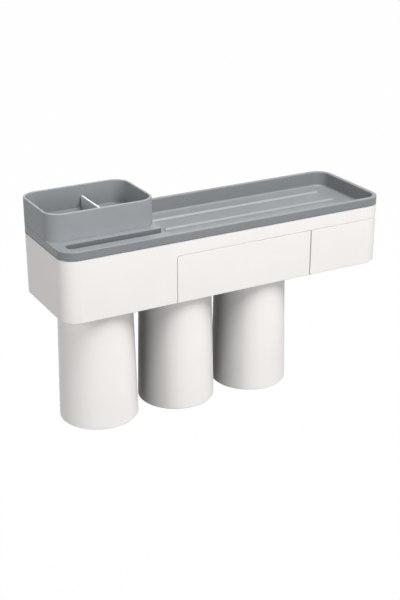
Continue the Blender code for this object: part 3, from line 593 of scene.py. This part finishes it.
def housing_fittings(size, low, high):
    """Partitions, runners, header and magnet bosses that stand inside the shell."""
    play, rail_room, runner_width, header_low = 0.0010, 0.0004, 0.0028, 0.0010
    boss_radius, pad_radius = 0.0119, 0.0125
    wide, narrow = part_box("drawer_large_tray"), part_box("drawer_small_tray")
    inside = low.y + size.wall - BITE
    on_floor = low.z + size.wall - BITE
    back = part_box("wall_rail")[0].y - rail_room
    top = TRAY_LOW.z - size.gap
    left_face = wide[0].x - play
    header_front = low.y + size.front + size.seam
    walls = [block("left_partition", (left_face - PARTITION, inside, on_floor),
                   (left_face, back, top)),
             block("right_partition", (wide[1].x + play, header_front, on_floor),
                   (narrow[0].x - play, back, top))]
    seat = wide[0].z - size.gap
    for tray in (wide, narrow):
        for x0, x1 in ((tray[0].x - play - BITE, tray[0].x - play + runner_width),
                       (tray[1].x + play - runner_width, tray[1].x + play + BITE)):
            runner = block("runner", (x0, low.y + size.front + FINGER_ROOM - BITE,
                                      low.z + size.wall - BITE / 2), (x1, wide[1].y, seat))
            bevel(runner, level_at(seat), RUBBED_EDGE, 2)
            walls.append(runner)
    right, header_top = high.x - size.corner, TRAY_LOW.z - header_low
    walls += [block("header", (left_face - BITE, header_front, FRONT_HIGH.z - HEADER_DROP),
                    (right, header_front + PARTITION, header_top)),
              block("header_web", (left_face - BITE, inside, FRONT_HIGH.z + size.seam / 2 + BITE),
                    (right, header_front + BITE, header_top))]
    in_floor = low.z + size.wall / 2
    for number in "123":
        centre = round_node("cup_cover_" + number)[0]
        boss_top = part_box("magnet_retainer_" + number)[1].z - FLANGE - size.gap
        walls.append(drum("boss", centre, boss_radius, in_floor, boss_top))
        pad = drum("seat_pad", centre, pad_radius, HOUSING_LOW.z, in_floor)
        bevel(pad, level_at(HOUSING_LOW.z), SMALL_EDGE, 2)
        walls.append(pad)
    return walls


def housing_openings(size, low, high):
    """Magnet pockets, mouths for the fronts, finger gap and hook window."""
    rail_half, lift, room = 0.0120, 0.0100, 0.0020
    narrow_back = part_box("drawer_small_front")[1].y
    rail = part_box("wall_rail")
    cuts = []
    for number in "123":
        centre, _, magnet_low, _ = round_node("seat_magnet_" + number)
        cuts.append(drum("pocket", centre, MAGNET_POCKET, magnet_low - size.gap,
                         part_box("magnet_retainer_" + number)[1].z + size.gap))
    left = FRONT_LOW.x - size.seam
    top = FRONT_HIGH.z + size.seam
    reach = size.front + size.seam
    outer = (left, low.y - PAST, low.z - PAST)
    mouth = block("front_mouth", outer, (high.x + PAST, low.y + reach - BITE / 2, top))
    bevel(mouth, placed(x=left, z=top), size.front_corner + size.seam, 6)
    corner = block("corner_mouth", (high.x - size.corner, low.y - PAST, low.z - PAST),
                   (high.x + PAST, narrow_back + size.seam, top))
    keep = block("corner_keep", (high.x - 2 * size.corner, low.y + reach, low.z - 2 * PAST),
                 (high.x - reach, narrow_back + PAST, top + PAST))
    bevel(keep, standing_at((high.x - reach, low.y + reach)), size.corner - reach,
          size.corner_steps)
    combine(corner, [keep], 'DIFFERENCE')
    finger = rounded_block("finger_mouth", outer,
                           (high.x + PAST, low.y + size.front + FINGER_ROOM,
                            low.z + size.wall + size.fillet + BITE), size.front_corner, 6)
    window = block("hook_window", (rail[0].x - room, high.y - size.wall - BITE,
                                   -rail_half - lift - room),
                   (rail[1].x + room, high.y + PAST, rail_half + size.gap))
    return cuts + [mouth, corner, finger, window]


class HOLDER_OT_housing(bpy.types.Operator):
    """Makes the white housing with its bays, header, runners, magnet bosses and hook window"""
    bl_idname = "holder.housing"
    bl_label = "Housing"

    def execute(self, context):
        size = context.scene.holder_sizes
        low = Vector((HOUSING_LOW.x, HOUSING_LOW.y, FRONT_LOW.z))
        high = HOUSING_HIGH
        shell = rounded_block("housing_shell", low, high, size.corner, size.corner_steps)
        push(shell, facing((0, 0, 1)), size.wall, -(high.z - low.z - size.wall))
        bevel(shell, level_at(low.z + size.wall), size.fillet, 3)
        bevel(shell, level_at(low.z), size.edge, 4)
        combine(shell, housing_fittings(size, low, high), 'UNION')
        combine(shell, housing_openings(size, low, high), 'DIFFERENCE')
        dress(shell, plastic("housing"), "holder", "warm_white", "housing")
        return {'FINISHED'}


def basin_tool(size, grow, floor, top, fillet):
    """Basin with the phone slot running out of it, as one solid, grown all round."""
    rear_corner, small_corner, slot_round = 0.006, 0.0022, 0.98
    end = BOX_HIGH.x - grow
    x1 = TRAY_HIGH.x - size.rim + grow
    y0, y1 = TRAY_LOW.y + size.rim - grow, TRAY_HIGH.y - size.rim + grow
    slot_low = TRAY_LOW.y + size.slot_front - grow
    slot_high = TRAY_LOW.y + size.slot_front + size.slot_width + grow
    slot_end = TRAY_LOW.x + size.slot_end - grow
    basin = block("basin", (end, y0, floor), (x1, y1, top))
    for y in (slot_low, slot_high):
        edit_all(basin)
        bpy.ops.mesh.bisect(plane_co=(0.0, y, 0.0), plane_no=(0.0, 1.0, 0.0))
    pick(basin, 'FACE', lambda face: face.normal.x < -0.9
         and slot_low < face.calc_center_median().y < slot_high)
    bpy.ops.mesh.extrude_region_move(TRANSFORM_OT_translate={"value": (slot_end - end, 0.0, 0.0)})
    edit_all(basin)
    bpy.ops.mesh.dissolve_limited(angle_limit=math.radians(0.5))
    for places, radius, steps in (
            (((x1, y0), (x1, y1)), size.corner - size.rim + grow, size.corner_steps),
            (((end, y1),), rear_corner + grow, 12), (((end, y0),), small_corner + grow, 6),
            (((slot_end, slot_low), (slot_end, slot_high)),
             (size.slot_width / 2 + grow) * slot_round, 12),
            (((end, slot_low), (end, slot_high)), small_corner - grow, 6)):
        bevel(basin, standing_at(*places), radius, steps)
    if fillet:
        bevel(basin, level_at(floor), fillet, 4)
    return basin


def platform_hollows(size, seat):
    """Hollows under the platform, in front of the phone slot and behind it."""
    cover = 0.0022
    skin = size.rim - size.wall - size.gap
    x0 = TRAY_LOW.x + size.corner
    x1 = BOX_HIGH.x - skin - cover
    top = TRAY_HIGH.z - cover
    front = TRAY_LOW.y + size.wall + size.gap + SLIP + skin
    slot_low = TRAY_LOW.y + size.slot_front - skin
    slot_high = TRAY_LOW.y + size.slot_front + size.slot_width + skin
    box_front = BOX_LOW.y + size.box_step - BOX_PLAY - cover
    return [block("front_hollow", (x0, front, seat - PAST), (x1, slot_low, top)),
            block("rear_hollow", (x0, slot_high, seat - PAST), (x1, box_front, top))]


def lip_and_basin_body(size, seat):
    """The lip that drops into the housing's mouth, and the solid round the basin."""
    lip_depth, body_top = 0.0030, 0.0011
    skin = size.rim - size.wall - size.gap
    inset = size.wall + size.gap + SLIP
    lip = left_rounded(size, "lip", inset, BOX_HIGH.x, HOUSING_HIGH.z - lip_depth, seat + BITE)
    inner = left_rounded(size, "lip_hollow", inset + skin, BOX_HIGH.x + PAST,
                         HOUSING_HIGH.z - 2 * PAST, seat + 2 * PAST)
    combine(lip, [inner], 'DIFFERENCE')
    return [lip, basin_tool(size, skin, TRAY_LOW.z, seat + body_top, 0.0)]


def left_rounded(size, name, inset, right, bottom, top):
    """Block inset from the tray's outline, with its two left corners rounded."""
    left, front, back = TRAY_LOW.x + inset, TRAY_LOW.y + inset, TRAY_HIGH.y - inset
    piece = block(name, (left, front, bottom), (right, back, top))
    bevel(piece, standing_at((left, front), (left, back)), size.corner - inset, size.corner_steps)
    return piece


def box_opening(size):
    inset = size.box_step - BOX_PLAY
    low = (BOX_LOW.x + inset, BOX_LOW.y + inset, HOUSING_HIGH.z - PAST)
    high = (BOX_HIGH.x - inset, BOX_HIGH.y - inset, TRAY_HIGH.z + PAST)
    return rounded_block("box_opening", low, high, size.corner - inset, size.corner_steps)


def basin_ridges(size):
    """Two ridges with rounded ends and slopes up to narrow crests."""
    from_fronts, left_margin, right_margin = (0.0526, 0.0806), 0.0180, 0.0190
    end_round, crest_length, crest_edge = 0.45, 0.99, 0.00008
    made = []
    floor = TRAY_HIGH.z - size.basin
    for from_front in from_fronts:
        middle = TRAY_LOW.y + from_front
        low = (BOX_HIGH.x + left_margin, middle - size.ridge_width / 2, floor - BITE)
        foot = (TRAY_HIGH.x - size.rim - right_margin, middle + size.ridge_width / 2,
                floor + size.ridge_foot)
        ridge = rounded_block("ridge", low, foot, size.ridge_width * end_round, 6)
        push(ridge, facing((0, 0, 1), foot[2]), 0.0, size.ridge_height - size.ridge_foot,
             (crest_length, size.ridge_crest), ((low[0] + foot[0]) / 2, middle))
        bevel(ridge, rim_at(floor + size.ridge_height), crest_edge, 1)
        made.append(ridge)
    return made


class HOLDER_OT_tray_top(bpy.types.Operator):
    """Makes the grey tray with its basin, ridges, platform and phone slot"""
    bl_idname = "holder.tray_top"
    bl_label = "Tray top"

    def execute(self, context):
        size = context.scene.holder_sizes
        rebate_width, rebate, inner_edge = 0.0006, 0.0005, 0.0006
        seat = HOUSING_HIGH.z + size.gap
        low = Vector((TRAY_LOW.x, TRAY_LOW.y, seat + rebate))
        high = TRAY_HIGH
        tray = rounded_block("tray_moulding", low, high, size.corner, size.corner_steps)
        bevel(tray, level_at(high.z), size.edge, 4)
        push(tray, facing((0, 0, -1)), rebate_width, -rebate)
        combine(tray, platform_hollows(size, seat), 'DIFFERENCE')
        combine(tray, lip_and_basin_body(size, seat), 'UNION')
        combine(tray, [basin_tool(size, 0.0, high.z - size.basin, high.z + PAST,
                                  size.basin_fillet)], 'DIFFERENCE')
        bevel(tray, rim_at(high.z), inner_edge, 3)
        combine(tray, [box_opening(size)], 'DIFFERENCE')
        combine(tray, basin_ridges(size), 'UNION')
        dress(tray, plastic("grey"), "holder", "grey", "tray_top")
        return {'FINISHED'}


def guide_ribs(size, bottom, seat):
    """Two pairs of ribs, one in front and one behind, that the divider slides between."""
    depth, thickness = 0.0022, 0.0014
    left, right = DIVIDER_LOW.x - size.gap, DIVIDER_HIGH.x + size.gap
    inset = size.box_step + size.box_wall
    front, back = BOX_LOW.y + inset, BOX_HIGH.y - inset
    return [block("guide_rib", (x0, y0, bottom + size.box_wall - BITE),
                  (x1, y1, seat - size.box_wall))
            for y0, y1 in ((front - BITE, front + depth), (back - depth, back + BITE))
            for x0, x1 in ((left - thickness, left), (right, right + thickness))]


class HOLDER_OT_brush_box(bpy.types.Operator):
    """Makes the grey brush box: flush upper walls, a shoulder and a narrower lower part"""
    bl_idname = "holder.brush_box"
    bl_label = "Brush box"

    def execute(self, context):
        size = context.scene.holder_sizes
        seat = TRAY_HIGH.z + size.hairline
        bottom, top = BOX_LOW.z, BOX_HIGH.z
        ledge = seat + size.box_wall + size.fillet
        box = rounded_block("brush_box", (BOX_LOW.x, BOX_LOW.y, seat), BOX_HIGH, size.corner,
                            size.corner_steps)
        push(box, facing((0, 0, -1)), size.box_step, bottom - seat)
        bevel(box, level_at(bottom), size.box_foot, 5)
        push(box, facing((0, 0, 1), top), size.box_wall, ledge - top)
        sink(box, facing((0, 0, 1), ledge), size.box_step, ledge - seat)
        push(box, facing((0, 0, 1), seat), 0.0, bottom + size.box_wall - seat)
        bevel(box, level_at(bottom + size.box_wall), size.box_foot - size.box_wall / 2, 4)
        bevel(box, rim_at(top), size.edge, 4)
        bevel(box, rim_at(seat), 0.0001, 2)
        combine(box, guide_ribs(size, bottom, seat), 'UNION')
        dress(box, plastic("box"), "storage_box", "grey", "storage_box")
        return {'FINISHED'}


class HOLDER_OT_divider(bpy.types.Operator):
    """Makes the pale divider: wide above the box's shoulder, narrow below it"""
    bl_idname = "holder.divider"
    bl_label = "Box divider"

    def execute(self, context):
        size = context.scene.holder_sizes
        seat = TRAY_HIGH.z + size.gap
        shoulder = seat + size.box_wall + size.fillet + size.gap
        low, high = DIVIDER_LOW, DIVIDER_HIGH
        width = high.y - low.y
        inset = size.box_step + size.divider_play - size.gap
        plate = block("divider_plate", (low.x, low.y, shoulder), high)
        push(plate, facing((0, 0, -1)), 0.0, seat + size.gap - shoulder,
             (1.0, (width - 2 * inset) / width), (0.0, (low.y + high.y) / 2))
        push(plate, facing((0, 0, -1), seat + size.gap), 0.0, low.z - seat - size.gap)
        for height, radius, steps in ((high.z, size.front_corner, 8), (low.z, size.box_foot, 6)):
            bevel(plate, lambda edge: level_at(height)(edge) and span(edge, 'y') < NEAR,
                  radius, steps)
        bevel(plate, lambda edge: len(edge.link_faces) == 2 and sorted(
            abs(face.normal.x) > 0.9 for face in edge.link_faces) == [False, True], SMALL_EDGE, 2)
        dress(plate, plastic("divider"), "divider", "divider_white", "box_divider")
        return {'FINISHED'}


def wide_front(size):
    front = block("wide_front", FRONT_LOW, FRONT_HIGH)
    bevel(front, placed(x=FRONT_LOW.x, z=FRONT_HIGH.z), size.front_corner, 8)
    bevel(front, placed(y=FRONT_LOW.y), size.front_edge, 3)
    dress(front, plastic("housing"), "drawer_large", "warm_white", "drawer_large_front")


def narrow_front(size):
    """Outer face bent round the corner, then thickened inwards."""
    low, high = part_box("drawer_small_front")
    front = block("narrow_front", low, high)
    bevel(front, standing_at((high.x, low.y)), size.corner, size.corner_steps)
    pick(front, 'FACE', lambda face: abs(face.normal.z) > 0.9 or face.normal.x < -0.9
         or face.normal.y > 0.9)
    bpy.ops.mesh.delete(type='FACE')
    only(front)
    wall = front.modifiers.new("wall", 'SOLIDIFY')
    wall.thickness = size.front
    wall.use_even_offset = True
    bpy.ops.object.modifier_apply(modifier=wall.name)
    bevel(front, lambda edge: len(edge.link_faces) == 2 and
          edge.link_faces[0].normal.angle(edge.link_faces[1].normal) > 1.0, size.front_edge, 3)
    dress(front, plastic("housing"), "drawer_small", "warm_white", "drawer_small_front")


def drawer_tray(size, node, body, radii):
    """Open tray with ears at its back that stop it at the header."""
    travel, half_ear, inner_fillet = 0.068, 0.0007, 0.0010
    low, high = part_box(node)
    top = FRONT_HIGH.z - HEADER_DROP - size.gap
    tray = block(node + "_moulding", low, (high.x, high.y, top))
    corners = ((low.x, low.y), (high.x, low.y), (high.x, high.y), (low.x, high.y))
    for corner, radius in zip(corners, radii):
        bevel(tray, standing_at(corner), radius, 12)
    push(tray, facing((0, 0, 1)), size.tray_wall, -(top - low.z - size.tray_wall))
    bevel(tray, level_at(low.z + size.tray_wall), inner_fillet, 3)
    bevel(tray, level_at(low.z), size.edge, 3)
    bevel(tray, rim_at(top), RUBBED_EDGE, 2)
    ear_front = FRONT_LOW.y + size.front + size.seam + PARTITION + travel + size.gap
    middles = [low.x + size.tray_wall / 2]
    if body == "drawer_large":
        middles.append(high.x - size.tray_wall / 2)
    ears = [block("stop_ear", (middle - half_ear, ear_front, top - size.tray_wall),
                  (middle + half_ear, high.y - max(radii), high.z)) for middle in middles]
    combine(tray, ears, 'UNION')
    dress(tray, plastic("housing"), body, "warm_white", node)


class HOLDER_OT_drawers(bpy.types.Operator):
    """Makes the two drawers: flush fronts, one of them round the corner, on open trays"""
    bl_idname = "holder.drawers"
    bl_label = "Drawers"

    def execute(self, context):
        size = context.scene.holder_sizes
        small, play = 0.0030, 0.0010
        wide_front(size)
        narrow_front(size)
        drawer_tray(size, "drawer_large_tray", "drawer_large", [small] * 4)
        drawer_tray(size, "drawer_small_tray", "drawer_small",
                    [small, size.corner - size.front, size.corner - size.wall - play, small])
        return {'FINISHED'}


def cup_shape(size):
    """Tapered cup, mouth down, with a boss for its magnet inside its base."""
    boss_radius, boss_fillet, cover_seat = 0.0151, 0.0010, 0.0131
    centre, mouth_radius, low, high = round_node("cup_1")
    height = high - low
    slope = (mouth_radius - size.cup_base_radius) / height
    cup = drum("rinsing_cup", centre, size.cup_base_radius, low, high, size.cup_steps)
    pick(cup, 'FACE', facing((0, 0, -1)))
    stretch([mouth_radius / size.cup_base_radius] * 2, centre)
    inner_mouth = mouth_radius - size.cup_wall
    inner_height = height - size.cup_base
    inner_base = inner_mouth - slope * inner_height
    push(cup, facing((0, 0, -1)), size.cup_wall, inner_height,
         [inner_base / inner_mouth] * 2, centre)
    ceiling = high - size.cup_base
    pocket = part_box("cup_magnet_1")[0].z - size.gap
    boss_end = pocket - size.cup_wall
    push(cup, facing((0, 0, -1), ceiling), inner_base - boss_radius, boss_end - ceiling)
    bevel(cup, rim_at(ceiling), size.cup_edge, 4)
    bevel(cup, rim_at(boss_end), boss_fillet, 3)
    bevel(cup, rim_at(low), size.cup_wall * 0.49, 5)
    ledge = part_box("cup_cover_1")[0].z - size.gap
    push(cup, facing((0, 0, 1), high), size.cup_base_radius - cover_seat, ledge - high)
    push(cup, facing((0, 0, 1), ledge), cover_seat - MAGNET_POCKET, pocket - ledge)
    bevel(cup, lambda edge: level_at(high)(edge) and all(
        (vert.co.xy - Vector(centre)).length > size.cup_base_radius * 0.95
        for vert in edge.verts), size.cup_edge, 6)
    return cup


class HOLDER_OT_cups(bpy.types.Operator):
    """Makes the three cups, shaped once and copied, and their magnet covers"""
    bl_idname = "holder.cups"
    bl_label = "Cups"

    def execute(self, context):
        first = cup_shape(context.scene.holder_sizes)
        pieces = [first]
        for number in "23":
            twin = first.copy()
            twin.data = first.data.copy()
            context.collection.objects.link(twin)
            twin.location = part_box("cup_" + number)[0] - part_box("cup_1")[0]
            only(twin)
            bpy.ops.object.transform_apply(location=True)
            pieces.append(twin)
        for number, piece in zip("123", pieces):
            cup = "cup_" + number
            piece.name = "rinsing_cup_" + number
            dress(piece, plastic("cup"), cup, "cup_white", cup)
            node = "cup_cover_" + number
            dress(small_disc("base_cover_" + number, node), plastic("cup"), cup, "cup_white", node)
        return {'FINISHED'}


def retainer(node):
    """Cap with a plug under its flange."""
    plug_radius = 0.0100
    centre, radius, low, high = round_node(node)
    cap = drum(node + "_cap", centre, radius, high - FLANGE, high)
    push(cap, facing((0, 0, -1)), radius - plug_radius, low - (high - FLANGE))
    bevel(cap, level_at(high), RUBBED_EDGE, 3)
    dress(cap, plastic("housing"), "holder", "warm_white", node)


class HOLDER_OT_magnets(bpy.types.Operator):
    """Makes the magnets of the cups and of their seats, and the seats' retainers"""
    bl_idname = "holder.magnets"
    bl_label = "Magnets"

    def execute(self, context):
        for number in "123":
            for node, body in (("seat_magnet_" + number, "holder"),
                               ("cup_magnet_" + number, "cup_" + number)):
                dress(small_disc(node + "_disc", node), plated_steel(), body, "steel", node)
            retainer("magnet_retainer_" + number)
        return {'FINISHED'}


def hook_rail():
    """Plate on the wall, with a web and a slanted brace that carry an upright tongue."""
    plate, arm, tongue_height, tongue_edge = 0.0022, 0.0020, 0.0080, 0.0006
    brace_depth, brace_lap = 0.0040, 0.0015
    low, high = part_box("wall_rail")
    top = high.z - tongue_height
    foot = top - brace_depth
    inside_plate = high.y - plate / 2
    rail = block("hook_rail", (low.x, high.y - plate, low.z), (high.x, high.y, top))
    web = block("hook_web", (low.x, low.y, top - arm), (high.x, inside_plate, top))
    tongue = block("hook_tongue", (low.x, low.y, top - arm / 2), (high.x, low.y + arm, high.z))
    bevel(tongue, lambda edge: level_at(high.z)(edge) and span(edge, 'x') > NEAR,
          tongue_edge, 3)
    brace = block("hook_brace", (low.x, low.y + arm - BITE, foot),
                  (high.x, inside_plate, top - brace_lap))
    pick(brace, 'EDGE', placed(y=low.y + arm - BITE, z=foot))
    bpy.ops.transform.translate(value=(0.0, 0.0, brace_depth / 2))
    leave_edit()
    combine(rail, [web, tongue, brace], 'UNION')
    dress(rail, plastic("rail"), "wall", "rail_grey", "wall_rail")


def foam_pad():
    corner, front_edge = 0.0020, 0.0002
    low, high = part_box("adhesive_pad")
    pad = block("foam_pad", low, high)
    bevel(pad, lambda edge: span(edge, 'y') > NEAR, corner, 6)
    bevel(pad, placed(y=low.y), front_edge, 2)
    dress(pad, foam(), "wall", "pad", "adhesive_pad")


class HOLDER_OT_wall_fixing(bpy.types.Operator):
    """Makes the hook rail and the adhesive pad behind it"""
    bl_idname = "holder.wall_fixing"
    bl_label = "Wall fixing"

    def execute(self, context):
        hook_rail()
        foam_pad()
        return {'FINISHED'}


def photo_camera(context, studio):
    data = bpy.data.cameras.new("photo_camera")
    data.lens = studio.lens
    data.sensor_width = 36.0
    data.clip_start = 0.05
    camera = bpy.data.objects.new("photo_camera", data)
    camera.location = studio.camera_place
    camera.rotation_euler = (math.pi / 2 - studio.camera_down, 0.0, -studio.camera_right)
    context.scene.collection.objects.link(camera)
    context.scene.camera = camera


def softbox(name, turned, raised, width, power):
    """Square lamp aimed at the holder; turned is 0 in front and grows to the right."""
    aim, distance = Vector((0.0, -0.05, -0.02)), 1.6
    data = bpy.data.lights.new(name, 'AREA')
    data.shape = 'SQUARE'
    data.size = width
    data.energy = power
    lamp = bpy.data.objects.new(name, data)
    away = Vector((math.sin(turned) * math.cos(raised), -math.cos(turned) * math.cos(raised),
                   math.sin(raised)))
    lamp.location = aim + distance * away
    lamp.rotation_euler = (-away).to_track_quat('-Z', 'Y').to_euler()
    bpy.context.scene.collection.objects.link(lamp)


def seen_white(tree, least, most):
    """Most for what the camera or a reflection sees directly, least for light on surfaces."""
    path = add(tree, 'LightPath', {})
    either = math_node(tree, 'MAXIMUM', path['Is Camera Ray'], path['Is Transmission Ray'])
    seen = math_node(tree, 'MAXIMUM', either, path['Is Glossy Ray'])
    return ramp(tree, seen, 0.0, 1.0, least, most)


def white_surroundings(context, studio):
    world = bpy.data.worlds.new("white_surroundings")
    world.use_nodes = True
    tree = world.node_tree
    feed(tree, tree.nodes['Background'],
         {'Color': (1.0, 1.0, 1.0, 1.0), 'Strength': seen_white(tree, studio.ambient, 1.0)})
    context.scene.world = world


def pale_floor():
    """Floor far below: white where it is seen, dark for the light that it throws back."""
    reach, top, thickness, edge = 6.0, -0.55, 0.01, 0.004
    floor = block("pale_floor", (-reach, -reach, top - thickness), (reach, reach, top))
    bevel(floor, level_at(top), edge, 2)
    made, tree, shader, place, base = new_material("pale_floor", "floor")
    patches = noise(tree, place, 3.0, 3.0)
    feed(tree, shader, {'Base Color': shaded(tree, base, scaled(base, 0.985), patches),
                        'Roughness': 0.8})
    dark = add(tree, 'BsdfDiffuse', {'Color': (0.1, 0.1, 0.1, 1.0)})['BSDF']
    glow = add(tree, 'Emission', {})['Emission']
    thrown = add(tree, 'LightPath', {})['Is Diffuse Ray']
    calm = mixed(tree, thrown, shader.outputs['BSDF'], dark)
    seen = mixed(tree, seen_white(tree, 0.0, 0.99), calm, glow)
    tree.links.new(seen, tree.nodes['Material Output'].inputs['Surface'])
    floor.data.materials.append(made)


def mixed(tree, factor, first, second):
    return add(tree, 'MixShader', {0: factor, 1: first, 2: second})['Shader']


class HOLDER_OT_stage(bpy.types.Operator):
    """Sets the camera, the lamps, the white surroundings and the pale floor"""
    bl_idname = "holder.stage"
    bl_label = "Stage"

    def execute(self, context):
        studio = context.scene.holder_studio
        context.scene.view_settings.view_transform = 'Standard'
        photo_camera(context, studio)
        for name, turned, raised, width in (
                ("top", 0.0, 80.0, 0.8), ("key", 16.0, 60.0, 0.7), ("front", 0.0, 8.0, 0.7),
                ("right", 70.0, 15.0, 0.8), ("left", -90.0, 10.0, 0.6), ("back", 160.0, 0.0, 0.8)):
            softbox(name + "_softbox", math.radians(turned), math.radians(raised), width,
                    getattr(studio, name + "_power"))
        white_surroundings(context, studio)
        pale_floor()
        return {'FINISHED'}


class HOLDER_PT_panel(bpy.types.Panel):
    """Lists the steps that dress the holder"""
    bl_label = "Toothbrush Holder"
    bl_idname = "HOLDER_PT_panel"
    bl_space_type = 'VIEW_3D'
    bl_region_type = 'UI'
    bl_category = "Holder"

    def draw(self, context):
        for step in STEPS:
            self.layout.operator(step.bl_idname)


STEPS = (HOLDER_OT_housing, HOLDER_OT_tray_top, HOLDER_OT_brush_box, HOLDER_OT_divider,
         HOLDER_OT_drawers, HOLDER_OT_cups, HOLDER_OT_magnets, HOLDER_OT_wall_fixing,
         HOLDER_OT_stage)
GROUPS = (("holder_sizes", HolderSizes), ("holder_colours", HolderColours),
          ("holder_studio", HolderStudio))


def register():
    for name, group in GROUPS:
        bpy.utils.register_class(group)
        setattr(bpy.types.Scene, name, PointerProperty(type=group))
    for made in STEPS + (HOLDER_PT_panel,):
        bpy.utils.register_class(made)


def unregister():
    for made in reversed(STEPS + (HOLDER_PT_panel,)):
        bpy.utils.unregister_class(made)
    for name, group in reversed(GROUPS):
        delattr(bpy.types.Scene, name)
        bpy.utils.unregister_class(group)


def main():
    register()
    bpy.ops.holder.housing()
    bpy.ops.holder.tray_top()
    bpy.ops.holder.brush_box()
    bpy.ops.holder.divider()
    bpy.ops.holder.drawers()
    bpy.ops.holder.cups()
    bpy.ops.holder.magnets()
    bpy.ops.holder.wall_fixing()
    bpy.ops.holder.stage()


if __name__ == "__main__":
    main()
